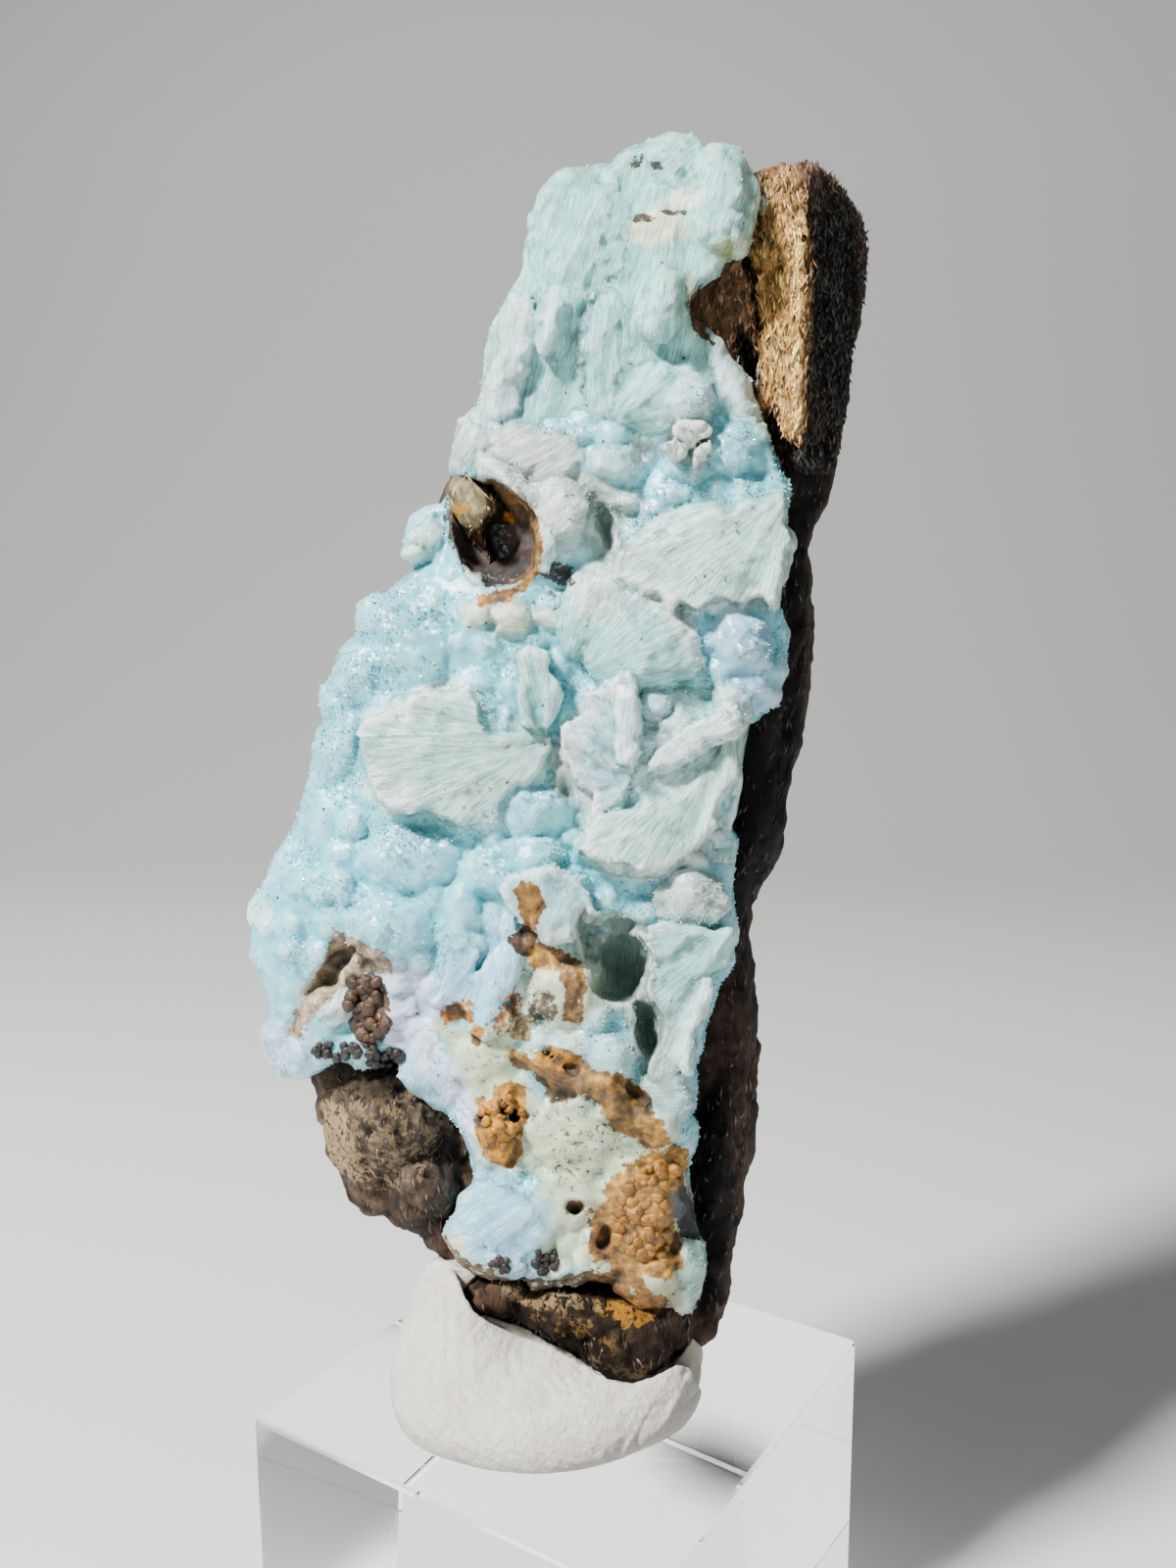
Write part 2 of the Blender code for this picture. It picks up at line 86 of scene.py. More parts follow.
# The limonite matrix: one piece of brown iron rock, broken off the wall of a vug, so its right side
# and its foot are rough breaks. It backs the whole crust, stands out bare and rusty gold at the top
# right, and shows again as a pitted lump at the lower left and as the foot.
ROCK_STEP = 4.4
ROCK_TOP = [
    (720, 178), (745, 186), (772, 180), (788, 177), (811, 172), (825, 169), (846, 182), (858, 196),
    (872, 216), (881, 238), (883, 262), (879, 301), (871, 339), (865, 367), (862, 405), (858, 432),
    (850, 470), (840, 507), (828, 532), (823, 560), (824, 600), (822, 640), (823, 670), (819, 720),
    (812, 752), (802, 800), (796, 818), (793, 850), (784, 871), (774, 884), (768, 913), (760, 950),
    (757, 978), (766, 1035), (768, 1080), (765, 1120), (761, 1158), (750, 1195), (750, 1250),
    (742, 1296), (735, 1321), (718, 1357), (699, 1384),
]
ROCK_FOOT = [
    (670, 1397), (640, 1410), (625, 1406), (600, 1391), (571, 1371), (545, 1359), (520, 1355),
    (498, 1350), (482, 1338), (474, 1316), (468, 1297),
]
ROCK_LOWER_LEFT = [
    (452, 1278), (434, 1259), (408, 1246), (397, 1237), (378, 1235), (365, 1222), (353, 1188),
    (338, 1156), (331, 1140), (330, 1120), (326, 1094),
]
ROCK_UNDER_CRUST = [
    (292, 1070), (290, 1010), (280, 940), (325, 840), (350, 745), (380, 660), (435, 600),
    (440, 545), (482, 460), (518, 380), (538, 300), (562, 215), (620, 185), (690, 165),
]
ROCK_NEAR_RIGHT = [
    (712, 200), (764, 215), (764, 250), (806, 190), (822, 200), (822, 300), (822, 420), (806, 470),
    (800, 560), (792, 620), (796, 680), (770, 745), (752, 800), (744, 860), (744, 930), (728, 1010),
    (706, 1070), (702, 1140), (694, 1220), (706, 1300), (694, 1376),
]
ROCK_BACK = 13.0
ROCK_REST = 53.4
ROCK_FILLET = 8.0
ROCK_TRIANGLES = 190000

# Lumps of the rock: middle, half sizes and tilt in the picture, nearest point and half depth in mm
ROCK_LUMPS = {
    "right shoulder": ((806, 470), (34, 70), 0, 0.5, 8),
    "right flank": ((796, 640), (28, 110), 0, 1.0, 8),
    "right waist": ((772, 830), (26, 70), 8, -1.0, 8),
    "low right flank": ((738, 1010), (28, 90), 0, -2.0, 8),
    "low flank": ((734, 1180), (28, 110), 4, -3.0, 8),
    "hole lining": ((508, 546), (42, 60), -34, -3.4, 4.6),
    "hole flap": ((484, 517), (17, 28), -34, -7.2, 3.4),
    "left lump": ((394, 1146), (62, 66), -30, -6.0, 9),
    "left lump foot": ((430, 1210), (38, 44), -30, -5.0, 8),
    "foot": ((590, 1346), (92, 38), 14, -7.6, 10),
    "foot left": ((512, 1322), (46, 28), -20, -6.6, 8),
    "foot right": ((672, 1352), (36, 36), 0, -7.0, 9),
    "foot tip": ((640, 1372), (46, 40), 0, -8.8, 5),
    "back bulge": ((620, 580), (110, 230), 0, 6.0, 5.0),
    "back shoulder": ((706, 330), (100, 120), 0, 6.0, 4.4),
    "back foot": ((560, 1020), (190, 230), 0, 5.4, 5.4),
}

# Broken faces of the rock: outline in the picture, nearest point in mm, fall to the right and fall
# downward (mm in mm), and thickness in mm. The ridge's left face and its dark side meet in a sharp arris.
ROCK_PLATES = {
    "dark side": (
        [(819, 178), (832, 170), (846, 182), (858, 196), (872, 216), (880, 238), (882, 262), (878, 301),
         (870, 339), (864, 367), (861, 405), (857, 432), (846, 476), (824, 480), (812, 440), (816, 300)],
        -3.2, 1.3, 0.0, 12.0),
    "golden ridge": (
        [(768, 214), (783, 203), (800, 182), (829, 170), (823, 200), (820, 260), (820, 330), (820, 433),
         (806, 447), (795, 424), (781, 400), (775, 350), (770, 280)], -5.8, -0.9, 0.0, 9.0),
    "bare tongue": (
        [(722, 268), (748, 262), (763, 281), (778, 281), (792, 400), (772, 418), (748, 390), (732, 352),
         (712, 346), (696, 312)], -5.0, 0.15, 0.05, 5.0),
}

# Hollows of the rock, which are read in the same way, with their deepest point
ROCK_HOLLOWS = {
    "rusty hole": ((516, 556), (20, 34), -36, 2.0, 8),
    "rusty hole mouth": ((519, 556), (23, 40), -34, -1.0, 6),
    "tongue shadow": ((764, 366), (11, 40), -16, -0.6, 6),
    "ridge crack": ((771, 300), (5, 60), -4, -2.4, 4),
    "left lump pit": ((410, 1112), (9, 9), 0, -3.2, 3),
    "foot undercut": ((520, 1362), (60, 14), 24, 0.0, 6),
}


class Field:
    """A block of small cells round a piece. Each cell holds its distance to the piece's surface."""

    def __init__(self, low, high, step):
        self.low = np.array(low, dtype=float)
        self.step = step
        self.shape = tuple(int((b - a) / step) + 2 for a, b in zip(low, high))
        self.cells = np.full(self.shape, 40.0, np.float32)
        self.owner = np.zeros(self.shape, np.int16)

    def window(self, low, high):
        """The cells between two corners, and where they lie."""
        first = [max(0, int((a - o) / self.step)) for a, o in zip(low, self.low)]
        last = [min(n, int((b - o) / self.step) + 2) for b, o, n in zip(high, self.low, self.shape)]
        slices = tuple(slice(a, b) for a, b in zip(first, last))
        lines = [o + self.step * np.arange(a, b) for o, a, b in zip(self.low, first, last)]
        return slices, np.meshgrid(*lines, indexing="ij", sparse=True)

    def join(self, slices, distance, blend, owner=0):
        """Adds a shape, with a soft fillet where it meets what is there."""
        old = self.cells[slices]
        share = np.clip(0.5 + 0.5 * (old - distance) / blend, 0.0, 1.0)
        self.owner[slices][distance < old] = owner
        self.cells[slices] = old * (1 - share) + distance * share - blend * share * (1 - share)

    def carve(self, slices, distance, blend):
        """Takes a shape away, with a soft edge."""
        old = self.cells[slices]
        share = np.clip(0.5 - 0.5 * (old + distance) / blend, 0.0, 1.0)
        self.cells[slices] = old * (1 - share) - distance * share + blend * share * (1 - share)

    def look_up(self, values, places):
        """The values of the cells nearest to these places."""
        cells = np.rint((places - self.low) / self.step).astype(int)
        cells = np.clip(cells, 0, np.array(self.shape) - 1)
        return values[cells[:, 0], cells[:, 1], cells[:, 2]]

    def surface(self):
        """Points and four-sided faces of the surface, as one closed body."""
        grid = openvdb.FloatGrid(3.0 * self.step)
        grid.copyFromArray(np.clip(self.cells, -3.0 * self.step, 3.0 * self.step))
        points, quads = grid.convertToQuads(0.0)
        points = points.astype(float) * self.step + self.low
        return one_body(points, quads.astype(np.int64))


def one_body(points, quads):
    """Keeps the largest connected body and leaves out crumbs."""
    label = np.arange(len(points))
    while True:
        lowest = label[quads].min(axis=1)
        new = label.copy()
        for corner in range(4):
            np.minimum.at(new, quads[:, corner], lowest)
        new = new[new]
        if np.array_equal(new, label):
            break
        label = new
    body = np.bincount(label).argmax()
    keep = label == body
    number = np.cumsum(keep) - 1
    return points[keep], number[quads[keep[quads[:, 0]]]]


def lump_distance(grid, middle, half, tilt, nearest, depth):
    """Distance to a rounded lump that comes forward to nearest."""
    angle = math.radians(tilt)
    centre = (middle[0], (nearest + depth) / STEP_MM, middle[1])
    across, deep, down = (axis - c for axis, c in zip(grid, centre))
    along = across * math.cos(angle) + down * math.sin(angle)
    beside = -across * math.sin(angle) + down * math.cos(angle)
    radii = (half[0], depth / STEP_MM, half[1])
    share = np.sqrt((along / radii[0]) ** 2 + (deep / radii[1]) ** 2 + (beside / radii[2]) ** 2) + 1e-6
    steep = np.sqrt((along / radii[0] ** 2) ** 2 + (deep / radii[1] ** 2) ** 2
                    + (beside / radii[2] ** 2) ** 2)
    return share * (share - 1.0) / (steep + 1e-6)


def lump_window(field, middle, half, nearest, depth, margin=14.0):
    """The cells of a field that a lump can reach."""
    reach = max(half) + margin
    low = (middle[0] - reach, nearest / STEP_MM - margin, middle[1] - reach)
    high = (middle[0] + reach, (nearest + 2 * depth) / STEP_MM + margin, middle[1] + reach)
    return field.window(low, high)


def add_lump(field, lump, blend, owner=0):
    """Joins one row of a table of lumps to a field."""
    middle, half, tilt, nearest, depth = lump
    slices, grid = lump_window(field, middle, half, nearest, depth)
    field.join(slices, lump_distance(grid, *lump), blend, owner)


def carve_lump(field, hollow, blend):
    """Takes one row of a table of hollows out of a field."""
    middle, half, tilt, deepest, depth = hollow
    nearest = deepest - 2 * depth
    slices, grid = lump_window(field, middle, half, nearest, depth)
    field.carve(slices, lump_distance(grid, middle, half, tilt, nearest, depth), blend)


def outline_distance(across, down, outline):
    """Distance to an outline in the picture, negative within it."""
    closest = None
    within = None
    for here, there in zip(outline, outline[1:] + outline[:1]):
        ex, ey = there[0] - here[0], there[1] - here[1]
        px, py = across - here[0], down - here[1]
        part = np.clip((px * ex + py * ey) / (ex * ex + ey * ey), 0.0, 1.0)
        gap = (px - ex * part) ** 2 + (py - ey * part) ** 2
        closest = gap if closest is None else np.minimum(closest, gap)
        crosses = ((here[1] > down) != (there[1] > down)) & (px < ex * py / (ey if ey else 1e-9))
        within = crosses if within is None else within ^ crosses
    return np.where(within, -1.0, 1.0) * np.sqrt(closest)


def plate_distance(grid, outline, front, back, edge):
    """Distance to a body with this outline, between a front and a back, with rounded edges."""
    across, deep, down = grid
    beside = outline_distance(across, down, outline) + edge
    depth = np.maximum(front - deep, deep - back) + edge
    outside = np.sqrt(np.maximum(beside, 0.0) ** 2 + np.maximum(depth, 0.0) ** 2)
    return outside + np.minimum(np.maximum(beside, depth), 0.0) - edge


def chance(cells, seed):
    """A steady random number from 0 to 1 for each whole-numbered cell."""
    key = cells[:, 0] * 73856093 ^ cells[:, 1] * 19349663 ^ cells[:, 2] * 83492791 ^ seed * 25214903
    key = (key ^ (key >> 13)) * 1274126177 & 0x7FFFFFFF
    return ((key ^ (key >> 16)) & 0xFFFF) / 65535.0


def swell(points, size, seed):
    """Soft random swells of this size, from -1 to 1."""
    cell = points / size
    base = np.floor(cell).astype(np.int64)
    part = cell - base
    part = part * part * (3.0 - 2.0 * part)
    total = np.zeros(len(points))
    for corner in range(8):
        offset = np.array((corner & 1, corner >> 1 & 1, corner >> 2 & 1))
        total += np.prod(np.where(offset, part, 1.0 - part), axis=1) * chance(base + offset, seed)
    return total * 2.0 - 1.0


def rugged(points, size, seed, times=4):
    """Swells on swells, each half as large as the last."""
    return sum(swell(points, size / 2 ** n, seed + n) / 1.8 ** n for n in range(times))


def packed_lumps(points, size, seed):
    """Round lumps packed side by side: 1 on a lump's middle and about 0 in the crease round it."""
    cell = points / size
    base = np.floor(cell).astype(np.int64)
    nearest = np.full(len(points), 9.0)
    for corner in range(27):
        here = base + np.array((corner % 3 - 1, corner // 3 % 3 - 1, corner // 9 - 1))
        middle = here + np.stack([chance(here, seed + n) for n in range(3)], axis=1)
        nearest = np.minimum(nearest, ((cell - middle) ** 2).sum(axis=1))
    return 1.0 - np.sqrt(nearest)


def outward(points, quads):
    """The outward direction at each point."""
    side = np.cross(points[quads[:, 2]] - points[quads[:, 0]], points[quads[:, 3]] - points[quads[:, 1]])
    total = np.zeros_like(points)
    for corner in range(4):
        np.add.at(total, quads[:, corner], side)
    return total / (np.linalg.norm(total, axis=1)[:, None] + 1e-12)


def make_piece(name, points, faces):
    """An object from real points and faces, which are turned to face outward."""
    mesh = bpy.data.meshes.new(name)
    a, b, c = (points[faces[:, n]] for n in range(3))
    if (a * np.cross(b, c)).sum() < 0:
        faces = faces[:, ::-1]
    mesh.from_pydata(points.tolist(), [], faces.tolist())
    mesh.shade_smooth()
    piece = bpy.data.objects.new(name, mesh)
    bpy.context.scene.collection.objects.link(piece)
    return piece


def note(piece, name, kind, values):
    """Stores a value for each point under a name that the material reads."""
    layer = piece.data.attributes.new(name, kind, "POINT")
    field = {"FLOAT_COLOR": "color", "FLOAT_VECTOR": "vector"}.get(kind, "value")
    layer.data.foreach_set(field, np.ascontiguousarray(values, dtype=np.float32).ravel())


def thin_hidden(piece, hidden, most):
    """Thins the faces that no one sees, until the piece has no more triangles than this."""
    triangles = 2 * len(piece.data.polygons)
    if triangles <= most:
        return
    group = piece.vertex_groups.new(name="hidden")
    group.add([int(n) for n in np.nonzero(hidden)[0]], 1.0, "REPLACE")
    decimate = piece.modifiers.new("thin", "DECIMATE")
    decimate.vertex_group = "hidden"
    decimate.ratio = most / triangles
    graph = bpy.context.evaluated_depsgraph_get()
    mesh = bpy.data.meshes.new_from_object(piece.evaluated_get(graph))
    piece.modifiers.clear()
    piece.vertex_groups.clear()
    piece.data = mesh


def linear(code):
    """An sRGB hex colour as linear red, green and blue."""
    parts = [int(code[n:n + 2], 16) / 255.0 for n in (1, 3, 5)]
    return tuple(p / 12.92 if p <= 0.04045 else ((p + 0.055) / 1.055) ** 2.4 for p in parts)


def new_material(name):
    """A material and its main shader."""
    made = bpy.data.materials.new(name)
    made.use_nodes = True
    return made, made.node_tree.nodes["Principled BSDF"]


def add_node(made, kind, inputs=None, **settings):
    """Adds a node with its settings; an input is a value, or another node's output to link."""
    new = made.node_tree.nodes.new("ShaderNode" + kind)
    for key, value in settings.items():
        setattr(new, key, value)
    for key, value in (inputs or {}).items():
        if isinstance(value, bpy.types.NodeSocket):
            made.node_tree.links.new(value, new.inputs[key])
        else:
            new.inputs[key].default_value = value
    return new


def link(made, output, target):
    """Joins an output to an input in a material."""
    made.node_tree.links.new(output, target)


def blended(field, places):
    """The distances of a field, blended between its cells, at these places."""
    cell = (places - field.low) / field.step
    base = np.clip(np.floor(cell).astype(int), 0, np.array(field.shape) - 2)
    part = np.clip(cell - base, 0.0, 1.0)
    total = np.zeros(len(places))
    for corner in range(8):
        offset = np.array((corner & 1, corner >> 1 & 1, corner >> 2 & 1))
        weight = np.prod(np.where(offset, part, 1.0 - part), axis=1)
        at = base + offset
        total += weight * field.cells[at[:, 0], at[:, 1], at[:, 2]]
    return total


def evened(values, quads, times):
    """Values of the points, each blended with its neighbours' this many times."""
    starts = np.concatenate([quads[:, n] for n in (0, 1, 2, 3, 1, 2, 3, 0)])
    ends = np.concatenate([quads[:, n] for n in (1, 2, 3, 0, 0, 1, 2, 3)])
    count = np.bincount(starts, minlength=len(values))[:, None]
    columns = values.reshape(len(values), -1)
    for turn in range(times):
        sums = [np.bincount(starts, column[ends], len(values)) for column in columns.T]
        columns = 0.4 * columns + 0.6 * np.stack(sums, axis=1) / count
    return columns.reshape(values.shape)


def spot(places, middle, half, tilt=0.0):
    """1 in the middle of a spot of the picture, 0 from its edge on."""
    angle = math.radians(tilt)
    across, down = places[:, 0] - middle[0], places[:, 2] - middle[1]
    along = across * math.cos(angle) + down * math.sin(angle)
    beside = -across * math.sin(angle) + down * math.cos(angle)
    return np.clip(1.5 - 1.5 * np.hypot(along / half[0], beside / half[1]), 0.0, 1.0)


def stain_layer(places, stains, seed):
    """The colour of the stains at these places, and how much of a place they cover."""
    coarse = rugged(places, 20.0, seed, 3)
    colours = np.zeros((len(places), 3))
    cover = np.zeros(len(places))
    for shape, colour, strength, broken in stains.values():
        if isinstance(shape, list):
            share = np.clip(0.5 - outline_distance(places[:, 0], places[:, 2], shape) / 12.0, 0.0, 1.0)
        else:
            share = spot(places, *shape)
        share = np.clip((share + broken * 0.7 * coarse * (share > 0.0)) * 1.5, 0.0, 1.0) * strength
        over = share / np.maximum(share + (1.0 - share) * cover, 1e-6)
        colours += (np.array(linear(colour)) - colours) * over[:, None]
        cover = np.maximum(cover, share)
    return np.concatenate((colours, cover[:, None]), axis=1)


def stain_nodes(made, colour, place, scale):
    """Lays the stains over a colour, with edges that break up into grains of this size."""
    stain = add_node(made, "Attribute", attribute_name="Stain")
    grains = add_node(made, "TexNoise", {"Vector": place, "Scale": scale, "Detail": 6.0, "Roughness": 0.7})
    edge = add_node(made, "MapRange", {"Value": grains.outputs["Fac"], "From Min": 0.28, "From Max": 0.72,
                                       "To Min": -0.95, "To Max": -0.05})
    edge = add_node(made, "Math", {0: edge.outputs["Result"], 1: stain.outputs["Alpha"]}, operation="ADD")
    edge = add_node(made, "MapRange", {"Value": edge.outputs[0], "From Min": 0.0, "From Max": 0.14})
    tone = add_node(made, "MapRange", {"Value": grains.outputs["Fac"], "From Min": 0.3, "From Max": 0.7,
                                       "To Min": 1.9, "To Max": 0.15})
    toned = add_node(made, "VectorMath", {0: stain.outputs["Color"]}, operation="SCALE")
    link(made, tone.outputs["Result"], toned.inputs["Scale"])
    mixed = add_node(made, "Mix", {"Factor": edge.outputs["Result"], "A": colour,
                                   "B": toned.outputs["Vector"]}, data_type="RGBA")
    return mixed.outputs["Result"], edge.outputs["Result"]


def with_shade(colours):
    """Colours with a fourth value of 1, as a colour attribute takes them."""
    return np.concatenate((colours, np.ones((len(colours), 1))), axis=1)


def crystal_piece(name, places, along, out, lengths, widths, thicks, colours):
    """Many small pointed crystals as one piece. Each has eight flat faces and its own colour."""
    along = along / np.linalg.norm(along, axis=1)[:, None]
    side = np.cross(out, along)
    side = side / (np.linalg.norm(side, axis=1)[:, None] + 1e-9)
    up = np.cross(along, side)
    long_way, side_way, up_way = along * lengths[:, None], side * widths[:, None], up * thicks[:, None]
    tips = np.stack((places + long_way, places - long_way, places + side_way,
                     places - side_way, places + up_way, places - up_way), axis=1)
    corners = np.array([(0, 2, 4), (2, 1, 4), (1, 3, 4), (3, 0, 4),
                        (2, 0, 5), (1, 2, 5), (3, 1, 5), (0, 3, 5)])
    faces = (corners[None] + 6 * np.arange(len(places))[:, None, None]).reshape(-1, 3)
    piece = make_piece(name, real_place(tips.reshape(-1, 3)), faces)
    piece.data.shade_flat()
    note(piece, "Colour", "FLOAT_COLOR", with_shade(np.repeat(colours, 6, axis=0)))
    return piece


rock_field = Field((230, -14 / STEP_MM, 120), (905, 20 / STEP_MM, 1440), ROCK_STEP)
rock_slices, rock_grid = rock_field.window(rock_field.low, (905, 200, 1440))
rock_left = ROCK_LOWER_LEFT + ROCK_UNDER_CRUST
rock_middle_right = [((a * 2 + 745) / 3, d) for a, d in ROCK_TOP[1:-1]] + ROCK_TOP[-1:]
for rock_right, rock_front, rock_back, rock_edge in (
    (ROCK_TOP, 3.0, ROCK_BACK, 2.6),
    (ROCK_TOP[:1] + rock_middle_right, -1.0, 8.0, 1.6),
    (ROCK_NEAR_RIGHT, -1.2, 6.0, 1.2),
):
    rock_outline = rock_right + ROCK_FOOT + rock_left
    rock_field.join(
        rock_slices,
        plate_distance(rock_grid, rock_outline, rock_front / STEP_MM, rock_back / STEP_MM,
                       rock_edge / STEP_MM),
        ROCK_FILLET,
    )
for rock_lump in ROCK_LUMPS.values():
    add_lump(rock_field, rock_lump, 10.0)
for outline, nearest, fall_right, fall_down, thickness in ROCK_PLATES.values():
    corners = np.array(outline, dtype=float)
    middle = corners.mean(axis=0)
    slices, grid = rock_field.window((corners[:, 0].min() - 14, -14 / STEP_MM, corners[:, 1].min() - 14),
                                     (corners[:, 0].max() + 14, 14 / STEP_MM, corners[:, 1].max() + 14))
    front = nearest / STEP_MM + fall_right * (grid[0] - middle[0]) + fall_down * (grid[2] - middle[1])
    rock_field.join(slices, plate_distance(grid, outline, front, front + thickness / STEP_MM, 5.0), 3.0)
for rock_hollow in ROCK_HOLLOWS.values():
    carve_lump(rock_field, rock_hollow, 5.0)

rock_near = np.nonzero(np.abs(rock_field.cells) < 26.0)
rock_places = np.stack(rock_near, axis=1) * ROCK_STEP + rock_field.low
rock_faced = np.clip((rock_places[:, 0] - 690.0) / 30.0, 0.0, 1.0) * (rock_places[:, 2] < 460.0)
rock_relief = (
    5.0 * rugged(rock_places, 58.0, 11, 3) * (1.0 - 0.5 * rock_faced)
    + 4.0 * packed_lumps(rock_places * (1.0, 1.0, 0.7), 34.0, 23) * (1.0 - 0.8 * rock_faced)
    + 4.4 * np.abs(rugged(rock_places * (1.0, 1.0, 0.5), 19.0, 31, 2))
)
rock_places_real = real_place(rock_places)
rock_field.cells[rock_near] -= (rock_relief - 2.0).astype(np.float32)
rock_under = ((ROCK_REST * MM - rock_places_real[:, 2]) / MM / STEP_MM).astype(np.float32)
rock_field.cells[rock_near] = np.maximum(rock_field.cells[rock_near], rock_under)
rock_low = np.nonzero(rock_field.cells < -26.0)
rock_low_real = real_place(np.stack(rock_low, axis=1) * ROCK_STEP + rock_field.low)
rock_under = ((ROCK_REST * MM - rock_low_real[:, 2]) / MM / STEP_MM).astype(np.float32)
rock_field.cells[rock_low] = np.maximum(rock_field.cells[rock_low], rock_under)

rock_points, rock_quads = rock_field.surface()
rock_out = outward(rock_points, rock_quads)
rock_grain = 2.2 * packed_lumps(rock_points * (1.0, 1.0, 0.55), 11.0, 41)
rock_grain += 1.6 * rugged(rock_points, 12.0, 47, 2)
rock_pits = np.clip(-rugged(rock_points, 15.0, 43, 2) - 0.25, 0.0, 1.0) * (rock_points[:, 2] > 1070.0)
rock_points = rock_points + rock_out * (rock_grain - 6.0 * rock_pits)[:, None]

# Changes of colour on the rock: middle, half sizes and tilt of the spot, colour, strength and how far
# chance breaks its edge up. Some are painted light: painted shade on the sides turned from the lamp and
# under the foot, and a painted highlight on the ridge's lit face.
ROCK_TONES = {
    # Painted shade: the right flank is painted nearly black where it is turned from the lamp.
    "right flank": (((800, 720), (80, 420), 6), "#080706", 0.97, 0.2),
    # Painted shade: the ridge's right side, turned from the lamp, is painted nearly black.
    "dark side": (((852, 320), (36, 190), 0), "#120E0B", 1.0, 0.2),
    # Golden limonite, lightened as a painted highlight on the ridge's lit left face and its tip.
    "golden face": (((797, 300), (34, 160), 0), "#A9824A", 1.0, 0.35),
    "golden tip": (((808, 424), (18, 34), 0), "#9C7844", 0.9, 0.4),
    "cream chip": (((778, 207), (8, 11), 10), "#DCD2B2", 1.0, 0.1),
    "tongue": (((740, 320), (44, 66), 0), "#5A4530", 0.9, 0.3),
    "tongue shadow": (((762, 372), (16, 44), -16), "#14100C", 1.0, 0.3),
    "left lump": (((396, 1152), (84, 96), -30), "#463A30", 1.0, 0.3),
    "left lump dark top": (((372, 1104), (56, 24), 20), "#2A211C", 0.9, 0.5),
    # Painted shade on the left lump's right side, which is turned from the lamp.
    "left lump dark side": (((440, 1190), (24, 60), -30), "#2E2520", 0.7, 0.6),
    "foot": (((600, 1350), (130, 60), 10), "#241A12", 1.0, 0.3),
    "foot left": (((486, 1308), (26, 20), 20), "#2E221A", 0.7, 0.6),
    # Painted shade: the low right side is painted nearly black where it is turned from the lamp.
    "low right": (((724, 1220), (34, 170), 0), "#070605", 1.0, 0.2),
    # Painted shade under the foot.
    "foot underside": (((600, 1396), (110, 12), 16), "#14100E", 1.0, 0.2),
    "hole lining": (((502, 544), (56, 76), -34), "#1C110B", 1.0, 0.2),
    "hole flap": ([(472, 478), (484, 480), (500, 494), (512, 514), (502, 520), (491, 526), (488, 538),
                   (472, 550), (454, 544), (448, 530), (454, 510), (460, 490)], "#6A6048", 1.0, 0.2),
    "brown by the flap": (((478, 548), (22, 14), -20), "#4A3420", 0.9, 0.5),
}

# Grains of another colour that are scattered over the rock, read in the same way
ROCK_FLECKS = {
    "tan grains of the left lump": (((392, 1156), (84, 96), -30), "#A28A66", 0.50, 0.5),
    "tan edge of the left lump": (((350, 1164), (22, 76), -20), "#B0966E", 0.66, 0.6),
    "dark top of the left lump": (((372, 1104), (56, 22), 20), "#14100E", 0.8, 0.4),
    "foot ochre": (((650, 1332), (60, 36), 0), "#A06E24", 0.66, 0.6),
    "foot tan": (((560, 1326), (64, 20), 10), "#A4906A", 0.58, 0.6),
    "foot gold": (((600, 1360), (100, 22), 22), "#8C6C3C", 0.5, 0.7),
    "foot low edge": (((600, 1388), (110, 14), 18), "#8A7856", 0.5, 0.7),
    "gold in the hole": (((470, 520), (14, 14), 0), "#B8862E", 0.62, 0.7),
    "rust at the hole's right": ([(510, 524), (524, 522), (540, 540), (552, 562), (548, 584), (538, 560),
                                  (524, 538)], "#B06A1C", 0.62, 0.6),
    "rust in the hole": (((500, 560), (34, 44), -34), "#8A5220", 0.40, 0.8),
    "pale ledge of the hole": ([(480, 574), (496, 566), (510, 582), (520, 596), (512, 606), (484, 608)],
                               "#CFC8A8", 0.62, 0.5),
    "gold crust of the ridge": (((797, 300), (40, 170), 0), "#D8B87A", 0.44, 0.6),
    "dark crust of the ridge": (((800, 360), (30, 110), 0), "#1A120C", 0.42, 0.8),
    "gold on the dark side": (((850, 300), (26, 130), 0), "#A08040", 0.34, 0.9),
    "gold on the tongue": (((744, 316), (36, 56), 0), "#8C6C3E", 0.46, 0.8),
}

rock_colour = np.tile(np.array(linear("#3B2C20")), (len(rock_points), 1))
rock_colour *= 1.0 + 0.35 * rugged(rock_points, 60.0, 151, 3)[:, None]
rock_front_share = np.clip((70.0 - rock_points[:, 1]) / 30.0, 0.0, 1.0)[:, None]
rock_stain = stain_layer(rock_points, ROCK_TONES, 157)
rock_stain[:, 3:] *= rock_front_share
rock_colour += (rock_stain[:, :3] - rock_colour) * rock_stain[:, 3:]
# Painted highlight and painted shade: the rock's crests are painted lighter and its creases darker.
rock_crest = ((rock_points - evened(rock_points, rock_quads, 8)) * rock_out).sum(axis=1)
rock_colour *= np.clip(1.0 + 0.42 * rock_crest, 0.3, 2.0)[:, None]

rock = make_piece("limonite_rock", real_place(rock_points), rock_quads)
note(rock, "Colour", "FLOAT_COLOR", with_shade(rock_colour))
rock_flecks = stain_layer(rock_points, ROCK_FLECKS, 163) * rock_front_share
rock_flecks += np.array((*linear("#7E6240"), 0.42)) * (1.0 - rock_front_share)
note(rock, "Stain", "FLOAT_COLOR", rock_flecks)
rock_covered = ROCK_UNDER_CRUST + ROCK_NEAR_RIGHT[9:] + ROCK_FOOT[-1:]
rock_buried = outline_distance(rock_points[:, 0], rock_points[:, 2], rock_covered) < -24.0
rock_buried &= rock_points[:, 1] < 2.0
thin_hidden(rock, rock_buried, ROCK_TRIANGLES)
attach(rock, "root")
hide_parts("limonite_matrix")
